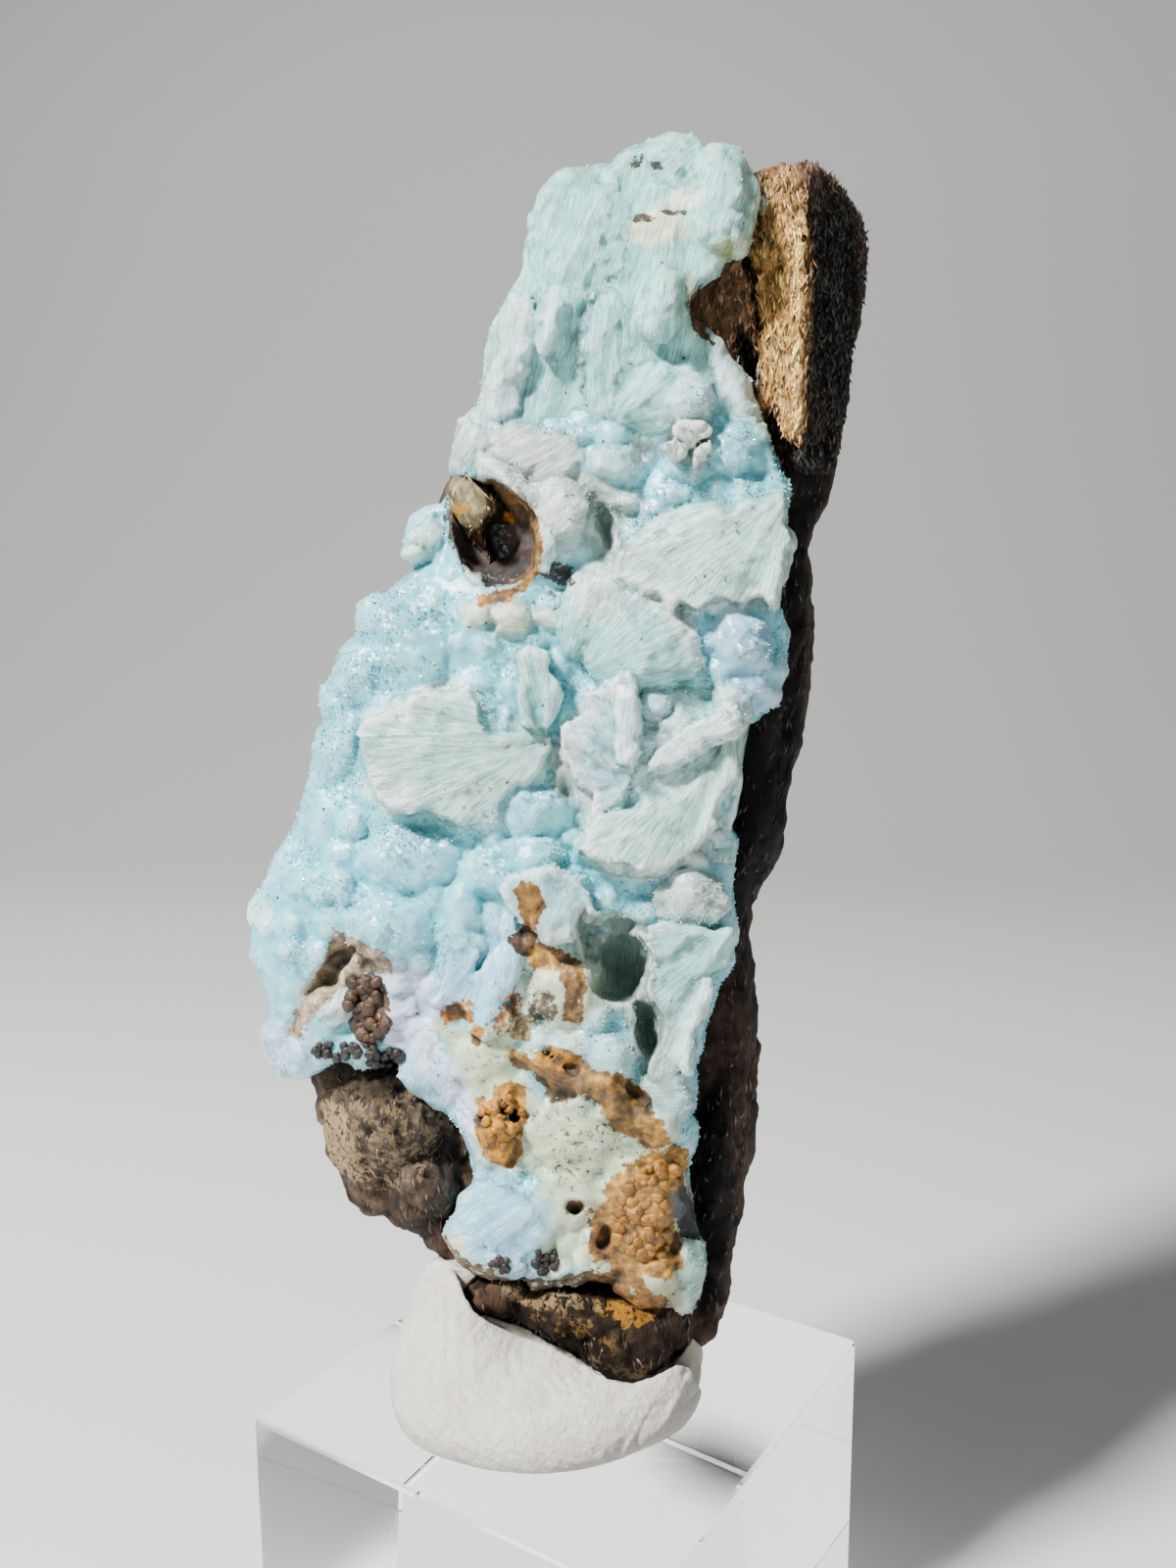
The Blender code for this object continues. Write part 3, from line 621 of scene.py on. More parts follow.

# Limonite: brown iron oxide, dull and earthy. Its colour is nearly black as painted shade on the sides
# turned from the lamp, and golden where the light rakes over its fine needles, partly its own colour and
# partly a painted highlight. Grain about 0.4 mm, blotches about 2 mm.
limonite, shader = new_material("limonite")
place = add_node(limonite, "TexCoord").outputs["Object"]
colour = add_node(limonite, "Attribute", attribute_name="Colour").outputs["Color"]
drawn = add_node(limonite, "Mapping", {"Vector": place, "Scale": (1.0, 1.0, 0.45)})
blotch = add_node(limonite, "TexNoise", {"Vector": drawn.outputs["Vector"], "Scale": 700.0, "Detail": 8.0,
                                         "Roughness": 0.72})
blotch = add_node(limonite, "MapRange", {"Value": blotch.outputs["Fac"], "From Min": 0.36, "From Max": 0.68,
                                         "To Min": 0.2, "To Max": 2.1})
toned = add_node(limonite, "VectorMath", {0: colour}, operation="SCALE")
link(limonite, blotch.outputs["Result"], toned.inputs["Scale"])
grain = add_node(limonite, "TexNoise", {"Vector": drawn.outputs["Vector"], "Scale": 2600.0, "Detail": 5.0,
                                        "Roughness": 0.75})
bump = add_node(limonite, "Bump", {"Height": grain.outputs["Fac"], "Distance": 0.0006, "Strength": 0.9})
flecked = stain_nodes(limonite, toned.outputs["Vector"], place, 950.0)[0]
link(limonite, flecked, shader.inputs["Base Color"])
link(limonite, bump.outputs["Normal"], shader.inputs["Normal"])
shader.inputs["Roughness"].default_value = 0.62
shader.inputs["Specular IOR Level"].default_value = 0.14
rock.data.materials.append(limonite)


# Needles of iron oxide: the bare faces of the rock are felted with short slivers, 0.5 to 2 mm long,
# that lie along the ridge and catch the light. They look loose, but they grew on the rock.
SLIVER_COUNT = 9000
sliver_chance = np.random.default_rng(5)
sliver_seen = (rock_out[:, 1] < -0.05) & (rock_points[:, 1] < 60.0)
sliver_seen &= outline_distance(rock_points[:, 0], rock_points[:, 2], ROCK_TOP + ROCK_FOOT + rock_left) < 2.0
sliver_likely = np.where((rock_points[:, 2] < 480.0) & (rock_points[:, 0] > 690.0), 3.0, 0.3)
sliver_likely = sliver_likely * sliver_seen
sliver_at = sliver_chance.choice(len(rock_points), SLIVER_COUNT, p=sliver_likely / sliver_likely.sum())
sliver_places = rock_points[sliver_at] + sliver_chance.uniform(-2.0, 2.0, (SLIVER_COUNT, 3))
sliver_lean = np.stack((sliver_chance.normal(0.0, 0.38, SLIVER_COUNT),
                        sliver_chance.normal(-0.1, 0.35, SLIVER_COUNT), np.ones(SLIVER_COUNT)), axis=1)
sliver_colours = rock_colour[sliver_at] * sliver_chance.uniform(0.15, 2.5, (SLIVER_COUNT, 1))
sliver_colours = np.clip(sliver_colours, 0.0, 0.8)
slivers = crystal_piece("limonite_slivers", sliver_places, sliver_lean, rock_out[sliver_at],
                        sliver_chance.uniform(2.5, 9.0, SLIVER_COUNT),
                        sliver_chance.uniform(0.9, 2.0, SLIVER_COUNT),
                        sliver_chance.uniform(0.8, 1.8, SLIVER_COUNT), sliver_colours)
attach(slivers, "root")
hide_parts("limonite_matrix")

# Iron oxide needles: brown to golden, a little silky on their long faces
iron_needles, shader = new_material("iron_oxide_needles")
colour = add_node(iron_needles, "Attribute", attribute_name="Colour").outputs["Color"]
link(iron_needles, colour, shader.inputs["Base Color"])
shader.inputs["Roughness"].default_value = 0.42
slivers.data.materials.append(iron_needles)


# The hemimorphite crust: zinc silicate that grew over the rock as round lumps of needles, each needle
# standing square to the surface. Where it broke, the needles show as fans and silky streaks; where it
# is whole, their ends make a sparkling skin. Old pockets in it are lined or stained with limonite.
CRUST_STEP = 3.3
CRUST_BACK = 4.0
CRUST_EDGE = 1.3
CRUST_FAR_LEFT = -34.9
CRUST_TRIANGLES = 196000
CRUST_LEFT = [
    (690, 136), (675, 141), (657, 146), (640, 149), (630, 156), (622, 166), (610, 165), (585, 169),
    (571, 172), (558, 188), (545, 203), (541, 225), (540, 245), (533, 272), (522, 304), (508, 328),
    (502, 352), (499, 385), (497, 410), (484, 428), (473, 444), (468, 470), (460, 490), (453, 510),
    (436, 518), (421, 526), (416, 545), (412, 566), (422, 576), (441, 572), (424, 582), (404, 598),
    (388, 617), (370, 641), (354, 658), (347, 683), (337, 705), (333, 738), (322, 770), (317, 799),
    (309, 828), (299, 853), (284, 873), (273, 894), (256, 924), (251, 939), (260, 956), (258, 972),
    (268, 1002), (276, 1024), (274, 1070), (284, 1091), (303, 1096), (326, 1093),
]
CRUST_FOOT = [
    (350, 1080), (372, 1090), (392, 1074), (418, 1075), (432, 1101), (452, 1128), (472, 1159),
    (484, 1184), (484, 1206), (466, 1239), (453, 1262), (469, 1286), (500, 1299), (526, 1312),
    (545, 1320), (575, 1318), (600, 1304), (640, 1306), (668, 1322), (690, 1345), (706, 1341),
]
CRUST_RIGHT = [
    (718, 1300), (716, 1262), (708, 1232), (703, 1200), (709, 1170), (712, 1150), (703, 1140),
    (707, 1126), (703, 1098), (713, 1071), (718, 1045), (731, 1015), (741, 985), (750, 962),
    (746, 918), (749, 885), (748, 850), (756, 812), (759, 783), (762, 744), (784, 724), (798, 690),
    (803, 644), (791, 617), (795, 576), (799, 540), (802, 508), (791, 469), (778, 434), (766, 416),
    (752, 404), (738, 378), (730, 350), (716, 332), (702, 322), (702, 311), (714, 291), (733, 281),
    (741, 262), (757, 259), (767, 236), (773, 205), (770, 184), (752, 153), (729, 151), (714, 147),
    (702, 141),
]

# How far the crust's front stands forward: places across and down in the picture, height in mm
CRUST_HEIGHTS = [
    (560, 200, -7.6), (640, 160, -7.2), (690, 150, -6.6), (740, 170, -8.4), (755, 230, -8.2),
    (690, 230, -9.0), (600, 280, -8.6), (540, 260, -6.6), (525, 330, -7.6), (505, 400, -6.0),
    (620, 350, -9.5), (680, 320, -9.6), (700, 400, -9.8), (744, 390, -8.2), (640, 430, -9.8),
    (560, 430, -8.4), (480, 460, -5.2), (450, 540, -4.2), (500, 540, -8.0), (560, 530, -9.6),
    (620, 530, -7.6), (660, 500, -8.6), (720, 520, -9.6), (792, 520, -8.8), (640, 640, -10.6),
    (570, 640, -9.2), (500, 640, -9.4), (430, 640, -8.2), (372, 664, -5.4), (755, 655, -10.4),
    (797, 660, -7.4), (338, 740, -4.6), (400, 740, -8.6), (470, 770, -10.0), (560, 740, -9.2),
    (620, 740, -10.8), (700, 760, -10.4), (758, 750, -9.0), (308, 840, -4.2), (368, 850, -7.4),
    (450, 860, -8.8), (530, 850, -9.6), (600, 850, -8.4), (670, 860, -10.6), (744, 850, -8.0),
    (256, 940, -2.6), (300, 940, -5.2), (360, 930, -7.8), (420, 950, -9.4), (490, 950, -9.8),
    (560, 920, -10.4), (640, 920, -8.6), (700, 930, -10.0), (744, 930, -8.6), (276, 1040, -3.4),
    (330, 1040, -5.6), (400, 1050, -7.0), (460, 1060, -8.4), (530, 1050, -9.4), (590, 1020, -10.8),
    (690, 1050, -9.4), (430, 1120, -6.4), (480, 1150, -8.2), (540, 1150, -9.2), (620, 1130, -10.2),
    (692, 1130, -8.8), (460, 1240, -6.4), (520, 1250, -7.8), (600, 1230, -8.8), (660, 1230, -9.4),
    (702, 1250, -7.0), (500, 1295, -6.8), (560, 1312, -7.2), (640, 1304, -8.6), (692, 1325, -7.6),
]

# What each kind of place on the crust looks like: colour, sparkle of its skin, depth of its streaks
LOOKS = {
    "druse": ("#6CC4D1", 1.0, 0.1),
    "blue druse": ("#84BBD2", 1.0, 0.1),
    # Painted shade: a darker druse for places under the disc and in the shell's shadow.
    "shaded druse": ("#5FA6AC", 0.9, 0.1),
    "grey druse": ("#A0B4B0", 1.0, 0.3),
    "silky": ("#8ECFC8", 0.3, 1.0),
    "pale silky": ("#AEDBD0", 0.25, 1.0),
    "grey silky": ("#ABC4BF", 0.3, 1.0),
    "white silky": ("#BADCDA", 0.5, 0.8),
    "glassy": ("#A2CDD2", 0.7, 0.5),
    "cream": ("#CBD6B4", 0.1, 0.5),
    "broken": ("#94CCE0", 0.5, 0.7),
    "stained": ("#A9B994", 0.1, 0.2),
    # Painted shade: a greyer, darker colour for the walls of hollows and pits.
    "cavity": ("#8A9C92", 0.3, 0.7),
    "chalky": ("#E2E8DC", 0.3, 0.6),
}

# Lumps: middle, half sizes and tilt in the picture, nearest point and half depth in mm, then the
# look and the way the needles run, as degrees in the picture or as the point that they spread from
CRUST_LUMPS = {
    "top left face": ((598, 250), (60, 84), 8, -8.6, 4, "silky", 70),
    "top peak": ((686, 168), (36, 28), 0, -7.6, 3.4, "silky", 40),
    "overlapping right slab": ((738, 205), (30, 54), -10, -10.6, 3.4, "silky", 72),
    "lens rim": ((572, 326), (27, 46), 12, -9.4, 3.4, "silky", 80),
    "lens": ((562, 330), (15, 40), 12, -10.6, 2.8, "glassy", 80),
    "column": ((618, 372), (30, 84), 0, -10.0, 3.4, "silky", 86),
    "upper left lobe": ((525, 352), (23, 64), 8, -8.0, 3.4, "white silky", 84),
    "left lobe": ((512, 412), (20, 30), 0, -7.0, 3.4, "white silky", 80),
    "edge lobe": ((484, 456), (22, 36), 14, -5.2, 3.4, "grey silky", 60),
    "round lobe": ((677, 310), (24, 36), 10, -11.2, 2.8, "silky", 80),
    "slope by the tongue": ((744, 386), (20, 56), -24, -8.6, 3.4, "white silky", 60),
    "round fan": ((666, 408), (54, 40), -6, -10.8, 3.4, "silky", (600, 452)),
    "round fan lip": ((700, 410), (26, 28), 0, -11.4, 2.8, "glassy", (600, 452)),
    "grey shoulder": ((560, 462), (56, 30), 10, -8.8, 3.4, "grey silky", 30),
    "disc": ((748, 464), (30, 32), 0, -10.4, 2.8, "druse", 0),
    # Painted shade under the disc.
    "disc under": ((714, 476), (26, 20), 0, -9.6, 2.8, "shaded druse", 0),
    "cone": ((628, 466), (26, 20), 0, -9.8, 2.8, "glassy", (624, 440)),
    "druse by the hole": ((574, 530), (30, 54), 0, -10.2, 3.4, "white silky", (548, 560)),
    "white rim of the hole": ((556, 560), (16, 34), -10, -10.6, 2.8, "white silky", 80),
    "over the hole": ((520, 492), (46, 18), 34, -9.4, 2.8, "grey druse", 0),
    "pocket lump": ((640, 512), (20, 18), 0, -8.6, 2.8, "grey druse", 0),
    "pocket upper lump": ((604, 486), (24, 22), 0, -8.4, 2.8, "grey druse", 0),
    "blue step": ((672, 520), (24, 22), 0, -9.0, 2.8, "blue druse", 0),
    "blue upper step": ((690, 505), (26, 20), 0, -9.8, 2.8, "druse", 0),
    "right steps": ((762, 506), (30, 20), -10, -9.8, 2.8, "druse", 0),
    "pale edge lobe": ((434, 546), (20, 27), 0, -4.4, 2.8, "white silky", 84),
    "pale edge lip": ((425, 570), (15, 9), 0, -4.8, 2.4, "cream", 0),
    "cream lobe": ((487, 626), (19, 19), 0, -10.2, 2.8, "cream", 0),
    "second cream lobe": ((521, 630), (22, 20), 0, -10.8, 2.8, "cream", 0),
    "grey lobe": ((562, 632), (20, 17), 0, -10.0, 2.8, "grey druse", 0),
    "drusy sphere": ((755, 656), (38, 38), 0, -11.6, 3.4, "blue druse", 0),
    "below the sphere": ((764, 700), (32, 26), 20, -9.6, 3.4, "blue druse", 0),
    "shell": ((642, 648), (84, 56), 28, -13.0, 4.4, "silky", (560, 720)),
    "cluster mass": ((668, 782), (84, 92), 14, -11.6, 5, "white silky", (746, 744)),
    "cluster foot": ((664, 850), (66, 40), -20, -11.4, 4, "pale silky", (746, 744)),
    "fan bed": ((470, 774), (100, 68), 4, -10.9, 4, "silky", (572, 752)),
    "large fan bed": ((722, 566), (84, 52), -14, -11.6, 4, "pale silky", (805, 500)),
    "left dome": ((424, 664), (54, 64), 24, -8.6, 4, "druse", 0),
    "left dome top": ((402, 636), (40, 34), 0, -7.8, 3.4, "druse", 0),
    "left dome low": ((376, 690), (34, 42), 0, -7.2, 3.4, "druse", 0),
    "left edge dome": ((352, 760), (26, 50), 14, -6.2, 4, "druse", 0),
    "left edge low dome": ((334, 838), (28, 40), 14, -6.0, 4, "druse", 0),
    "under the fan": ((410, 838), (46, 26), 0, -8.2, 3.4, "druse", 0),
    "glassy knob": ((500, 830), (30, 24), 0, -10.6, 2.8, "glassy", 0),
    "smooth shoulder": ((540, 826), (36, 34), 10, -10.4, 3.4, "druse", 0),
    "small white lobe": ((692, 742), (18, 18), 0, -12.4, 2.8, "white silky", 40),
    "right white lobe": ((746, 730), (20, 22), 0, -11.8, 2.8, "white silky", 50),
    "green hollow": ((668, 718), (24, 26), 0, -11.6, 2.8, "glassy", 0),
    "right middle face": ((722, 800), (30, 50), 0, -9.6, 3.4, "silky", 60),
    "upper botryoid": ((424, 882), (60, 36), 4, -9.8, 3.4, "druse", 0),
    "edge botryoid": ((341, 906), (22, 24), 0, -8.4, 3.4, "druse", 0),
    "large botryoid": ((398, 950), (54, 36), 4, -10.8, 3.4, "druse", 0),
    "tall botryoid": ((470, 944), (27, 42), 6, -11.0, 2.8, "druse", 0),
    "small botryoid": ((504, 894), (34, 26), 0, -10.8, 2.8, "druse", 0),
    "small right botryoid": ((542, 874), (38, 22), 0, -10.6, 2.8, "druse", 0),
    "left rim": ((292, 980), (34, 56), -12, -3.8, 3.4, "druse", 0),
    "left rim foot": ((300, 1064), (26, 30), 0, -3.4, 2.8, "broken", 0),
    "rimmed disc": ((345, 1024), (20, 23), 20, -7.4, 2.4, "white silky", 60),
    "white ground": ((400, 1016), (44, 50), 0, -7.4, 3.4, "broken", 30),
    "lower white ground": ((452, 1086), (44, 52), -30, -7.8, 3.4, "broken", 60),
    "blue break": ((474, 990), (34, 44), 20, -9.2, 3.4, "broken", 50),
    "blue break right": ((512, 972), (24, 50), -14, -10.2, 2.8, "broken", 70),
    "stained lump": ((578, 1008), (38, 40), 0, -11.6, 3.4, "stained", 0),
    "stained lump lip": ((604, 990), (14, 40), -14, -11.0, 2.8, "glassy", 80),
    "round lump": ((620, 1082), (29, 31), 0, -11.8, 2.8, "glassy", 0),
    "lump beside": ((586, 1066), (24, 22), 0, -11.0, 2.8, "glassy", 0),
    "green lump": ((678, 1122), (26, 38), -14, -10.6, 2.8, "glassy", 0),
    "curtain lens": ((702, 918), (38, 32), 0, -11.6, 2.8, "grey druse", 40),
    "ledge left": ((560, 1090), (44, 15), 24, -11.6, 2.8, "stained", 0),
    "ledge middle": ((618, 1116), (40, 17), 30, -12.0, 2.8, "stained", 0),
    "ledge right": ((664, 1146), (34, 18), 40, -11.4, 2.8, "stained", 0),
    "orange face": ((512, 1146), (28, 46), 0, -9.6, 2.8, "stained", 0),
    "green face left": ((500, 1078), (40, 46), 0, -9.0, 3.4, "stained", 0),
    "speckled face": ((590, 1160), (58, 44), 10, -9.8, 3.4, "stained", 0),
    "speckled low face": ((580, 1220), (44, 40), 0, -9.2, 3.4, "stained", 0),
    "ochre face": ((652, 1226), (46, 70), 0, -9.8, 3.4, "stained", 0),
    "ochre low face": ((660, 1300), (40, 34), 0, -9.2, 3.4, "stained", 0),
    "blue broken face": ((522, 1246), (62, 54), -8, -8.4, 3.4, "broken", 30),
    "low edge": ((500, 1286), (46, 18), 22, -8.0, 2.8, "broken", 20),
    "green right edge": ((702, 1290), (18, 52), 0, -7.2, 3.4, "glassy", 80),
}

# Plates: broken faces and shells with an outline. Outline, nearest point, fall to the right and fall
# downward (mm in mm), thickness in mm, look, and the point that the needles spread from
CRUST_PLATES = {
    "pale fan": (
        [(372, 735), (392, 728), (412, 733), (418, 716), (438, 705), (455, 706), (463, 697), (477, 697),
         (482, 707), (489, 717), (485, 727), (500, 740), (524, 746), (548, 742), (566, 748), (564, 768),
         (550, 790), (530, 800), (512, 816), (492, 830), (466, 838), (446, 834), (428, 830), (410, 836),
         (394, 830), (383, 820), (380, 806), (369, 790), (374, 772), (366, 752)],
        -11.5, 0.06, 0.02, 4.0, "pale silky", (572, 752)),
    "large fan": (
        [(634, 570), (650, 556), (672, 548), (702, 536), (728, 530), (755, 521), (778, 512), (800, 500),
         (803, 520), (800, 545), (797, 570), (795, 590), (788, 612), (779, 603), (760, 618), (743, 619),
         (731, 616), (712, 621), (697, 613), (685, 618), (670, 604), (655, 600), (640, 590), (632, 580)],
        -12.0, 0.04, -0.03, 4.4, "pale silky", (812, 496)),
    "upright fan": (
        [(526, 668), (540, 664), (556, 672), (568, 690), (574, 712), (568, 735), (560, 750), (546, 746),
         (532, 742), (525, 720), (523, 694)],
        -11.4, 0.08, -0.05, 3.6, "silky", (556, 764)),
    "scalloped blade": (
        [(638, 678), (652, 690), (655, 728), (649, 760), (643, 790), (636, 830), (612, 836), (604, 812),
         (586, 800), (575, 778), (572, 758), (578, 740), (592, 724), (600, 706), (616, 692)],
        -12.2, -0.04, 0.06, 4.0, "glassy", (640, 800)),
    "long pale column": (
        [(634, 696), (648, 700), (652, 730), (646, 764), (638, 784), (624, 782), (620, 760), (626, 728)],
        -13.0, 0.04, 0.03, 3.0, "white silky", (630, 900)),
    "diagonal blade": (
        [(656, 786), (668, 768), (690, 750), (716, 736), (736, 720), (756, 724), (758, 742), (736, 754),
         (712, 766), (690, 782), (668, 796)],
        -12.8, 0.02, 0.02, 3.2, "white silky", (640, 800)),
    "low striated fan": (
        [(590, 866), (600, 846), (622, 830), (652, 822), (684, 812), (712, 792), (736, 766), (750, 752),
         (752, 786), (742, 812), (728, 846), (708, 868), (699, 879), (680, 886), (667, 890), (650, 884),
         (632, 886), (606, 878)],
        -12.4, 0.03, -0.04, 4.0, "pale silky", (746, 744)),
    "low shell": (
        [(512, 908), (520, 894), (540, 886), (566, 884), (590, 894), (604, 910), (606, 926), (620, 936),
         (600, 940), (580, 952), (560, 960), (540, 950), (524, 936)],
        -12.4, 0.03, 0.08, 3.6, "glassy", (540, 980)),
    "curtain": (
        [(634, 950), (660, 944), (692, 946), (720, 950), (744, 954), (744, 976), (734, 992), (714, 1004),
         (700, 1020), (688, 1040), (681, 1042), (672, 1020), (664, 1000), (660, 980), (648, 966)],
        -12.0, 0.10, 0.06, 3.0, "silky", (760, 930)),
    "curtain strip": (
        [(716, 986), (732, 1000), (724, 1026), (714, 1048), (706, 1072), (700, 1094), (690, 1084),
         (676, 1104), (668, 1086), (676, 1056), (690, 1030), (702, 1006)],
        -11.4, 0.08, 0.06, 3.4, "white silky", (740, 940)),
    "blue facet": (
        [(438, 1018), (462, 982), (476, 968), (486, 996), (512, 1008), (518, 1036), (500, 1056), (484, 1050),
         (470, 1030)],
        -10.0, -0.10, 0.12, 3.0, "broken", (520, 930)),
    "blue facet right": (
        [(488, 996), (506, 958), (524, 930), (534, 950), (530, 990), (520, 1016), (506, 1014)],
        -10.8, 0.16, 0.04, 3.0, "broken", (530, 900)),
    "first scallop": (
        [(687, 449), (691, 439), (701, 434), (713, 433), (723, 436), (729, 442), (727, 450), (717, 451),
         (706, 456), (700, 452), (694, 451)],
        -10.9, 0.0, 0.30, 5.0, "chalky", (706, 458)),
    "second scallop": (
        [(677, 457), (682, 453), (690, 451), (698, 453), (703, 458), (704, 464), (698, 466), (693, 470),
         (688, 468), (683, 463)],
        -12.3, 0.1, 0.42, 5.0, "chalky", (692, 474)),
    "third scallop": (
        [(710, 469), (711, 462), (716, 457), (723, 455), (731, 457), (730, 464), (726, 471), (717, 472)],
        -11.9, -0.1, 0.42, 5.0, "chalky", (724, 474)),
}

# Hollows: middle, half sizes and tilt in the picture, deepest point and half depth in mm
CRUST_HOLLOWS = {
    "rusty hole": ((500, 541), (46, 72), -34, -0.6, 13, "cavity"),
    "grey pocket": ((618, 538), (17, 42), -12, -4.6, 9, "grey druse"),
    "slit by the fan": ((622, 574), (6, 16), 20, -7.0, 7, "grey druse"),
    "upper pocket": ((656, 458), (17, 9), 20, -8.0, 6, "grey druse"),
    "fan gap": ((509, 722), (13, 22), -10, -8.8, 7, "blue druse"),
    "low gap": ((576, 806), (10, 24), -14, -7.4, 8, "cavity"),
    "low gap upper": ((572, 778), (7, 18), 6, -8.0, 7, "cavity"),
    "dark cavity": ((632, 986), (30, 48), -24, -3.0, 11, "cavity"),
    "dark cavity foot": ((662, 1050), (17, 38), -6, -3.4, 10, "cavity"),
    "dark cavity roof": ((630, 944), (34, 12), 10, -6.2, 7, "cavity"),
    "dark cavity left": ((604, 962), (14, 34), -24, -6.0, 7, "cavity"),
    "left recess": ((330, 998), (46, 10), -50, -3.0, 5, "grey druse"),
    "shell shadow": ((716, 704), (24, 8), -24, -8.8, 5, "shaded druse"),
    "brown pit": ((613, 1266), (11, 16), -20, -6.6, 5, "cavity"),
    "small pit": ((586, 1232), (7, 5), 0, -7.6, 3, "cavity"),
    "orange pit": ((523, 1136), (6, 6), 0, -7.8, 3, "cavity"),
    "second orange pit": ((514, 1133), (4, 4), 0, -8.2, 3, "cavity"),
    "third orange pit": ((493, 1144), (6, 6), 0, -7.6, 3, "cavity"),
}


def needles(place, run):
    """Across and along the needles, in picture steps, at a place of the crust."""
    if isinstance(run, tuple):
        across, down = place[:, 0] - run[0], place[:, 2] - run[1]
        return np.arctan2(down, across) * 70.0, np.hypot(across, down)
    angle = math.radians(run)
    along = place[:, 0] * math.cos(angle) - place[:, 2] * math.sin(angle)
    return place[:, 0] * math.sin(angle) + place[:, 2] * math.cos(angle), along


crust_field = Field((236, -14.4 / STEP_MM, 118), (822, 6 / STEP_MM, 1364), CRUST_STEP)
crust_outline = CRUST_LEFT + CRUST_FOOT + CRUST_RIGHT
crust_slices, crust_grid = crust_field.window(crust_field.low, (822, 80, 1364))


def crust_height(across, down):
    """How far forward the crust's front stands at a place of the picture, in mm."""
    total, weight = 0.0, 0.0
    for there_across, there_down, height in CRUST_HEIGHTS:
        share = 1.0 / ((across - there_across) ** 2 + (down - there_down) ** 2 + 700.0) ** 2
        total, weight = total + share * height, weight + share
    return total / weight


crust_front = (crust_height(crust_grid[0], crust_grid[2]) + 0.9) / STEP_MM
crust_field.join(crust_slices, plate_distance(crust_grid, crust_outline, crust_front,
                                              CRUST_BACK / STEP_MM, CRUST_EDGE / STEP_MM), 4.0)

# The ground's looks: druse all over, and three regions with a look of their own, as number and corners
crust_owners = [("druse", 0), ("silky", 76), ("pale silky", (770, 720)), ("broken", 40)]
CRUST_REGIONS = (
    (1, (480, 100), (790, 446)),
    (2, (590, 690), (764, 880)),
    (3, (430, 1160), (720, 1350)),
)
for number, low, high in CRUST_REGIONS:
    slices = crust_field.window((low[0], -140, low[1]), (high[0], 60, high[1]))[0]
    crust_field.owner[slices] = number

# The ground between the larger forms is small round lumps, about 3 to 5 mm across
botryoid_pitch = 36.0
botryoid_chance = random.Random(7)
for row in range(int(900 / (botryoid_pitch * 0.87))):
    for column in range(int(620 / botryoid_pitch)):
        across = 236 + (column + row % 2 / 2 + botryoid_chance.uniform(-0.3, 0.3)) * botryoid_pitch
        down = 440 + (row * 0.87 + botryoid_chance.uniform(-0.3, 0.3)) * botryoid_pitch
        half = botryoid_pitch * botryoid_chance.uniform(0.5, 0.8)
        nearest = crust_height(across, down) - botryoid_chance.uniform(-0.6, 0.25)
        if outline_distance(np.array(float(across)), np.array(float(down)), crust_outline) < -16.0:
            add_lump(crust_field, ((across, down), (half, half), 0.0, nearest, 3.0), 4.0, 0)

flat_places = np.stack([axis.ravel() for axis in np.broadcast_arrays(crust_grid[0], 0.0, crust_grid[2])],
                       axis=1)
bend_shape = (crust_field.shape[0], 1, crust_field.shape[2])
bends = []
for seed in (201, 221):
    bend = 6.0 * rugged(flat_places, 44.0, seed, 2) + 2.6 * rugged(flat_places, 13.0, seed + 4, 2)
    bends.append(bend.reshape(bend_shape))


def bent(slices, grid):
    """The grid of a window, with its places shifted a little, so that no outline is a plain oval."""
    return [grid[0] + bends[0][slices[0], :, slices[2]], grid[1], grid[2] + bends[1][slices[0], :, slices[2]]]


for middle, half, tilt, nearest, depth, look, run in CRUST_LUMPS.values():
    crust_owners.append((look, run))
    fillet = 10.0 if LOOKS[look][2] > 0.6 else 4.5
    slices, grid = lump_window(crust_field, middle, half, nearest, depth)
    distance = lump_distance(bent(slices, grid), middle, half, tilt, nearest, depth)
    crust_field.join(slices, distance, fillet, len(crust_owners) - 1)

for outline, nearest, fall_right, fall_down, thickness, look, run in CRUST_PLATES.values():
    crust_owners.append((look, run))
    corners = np.array(outline, dtype=float)
    middle = corners.mean(axis=0)
    low = (corners[:, 0].min() - 12, nearest / STEP_MM - 30, corners[:, 1].min() - 12)
    high = (corners[:, 0].max() + 12, (nearest + thickness) / STEP_MM + 40, corners[:, 1].max() + 12)
    slices, grid = crust_field.window(low, high)
    grid = bent(slices, grid)
    fall = fall_right * (grid[0] - middle[0]) + fall_down * (grid[2] - middle[1])
    bulge = ((grid[0] - middle[0]) ** 2 + (grid[2] - middle[1]) ** 2) / 1400.0
    if isinstance(run, tuple):
        spread = np.arctan2(grid[2] - run[1], grid[0] - run[0]) * 70.0
        bulge = bulge + 1.6 * np.sin(spread / 5.2) + 1.2 * np.sin(spread / 11.0 + 1.0)
    front = nearest / STEP_MM + fall + bulge
    size = min(np.ptp(corners[:, 0]), np.ptp(corners[:, 1]))
    distance = plate_distance(grid, outline, front, front + thickness / STEP_MM, min(6.0, 0.14 * size))
    crust_field.join(slices, distance, 9.0 if size > 90.0 else 4.0, len(crust_owners) - 1)

for middle, half, tilt, deepest, depth, look in CRUST_HOLLOWS.values():
    crust_owners.append((look, 80))
    slices, grid = lump_window(crust_field, middle, half, deepest - 2 * depth, depth)
    distance = lump_distance(bent(slices, grid), middle, half, tilt, deepest - 2 * depth, depth)
    crust_field.owner[slices][distance < 5.0] = len(crust_owners) - 1
    crust_field.carve(slices, distance, 4.0)
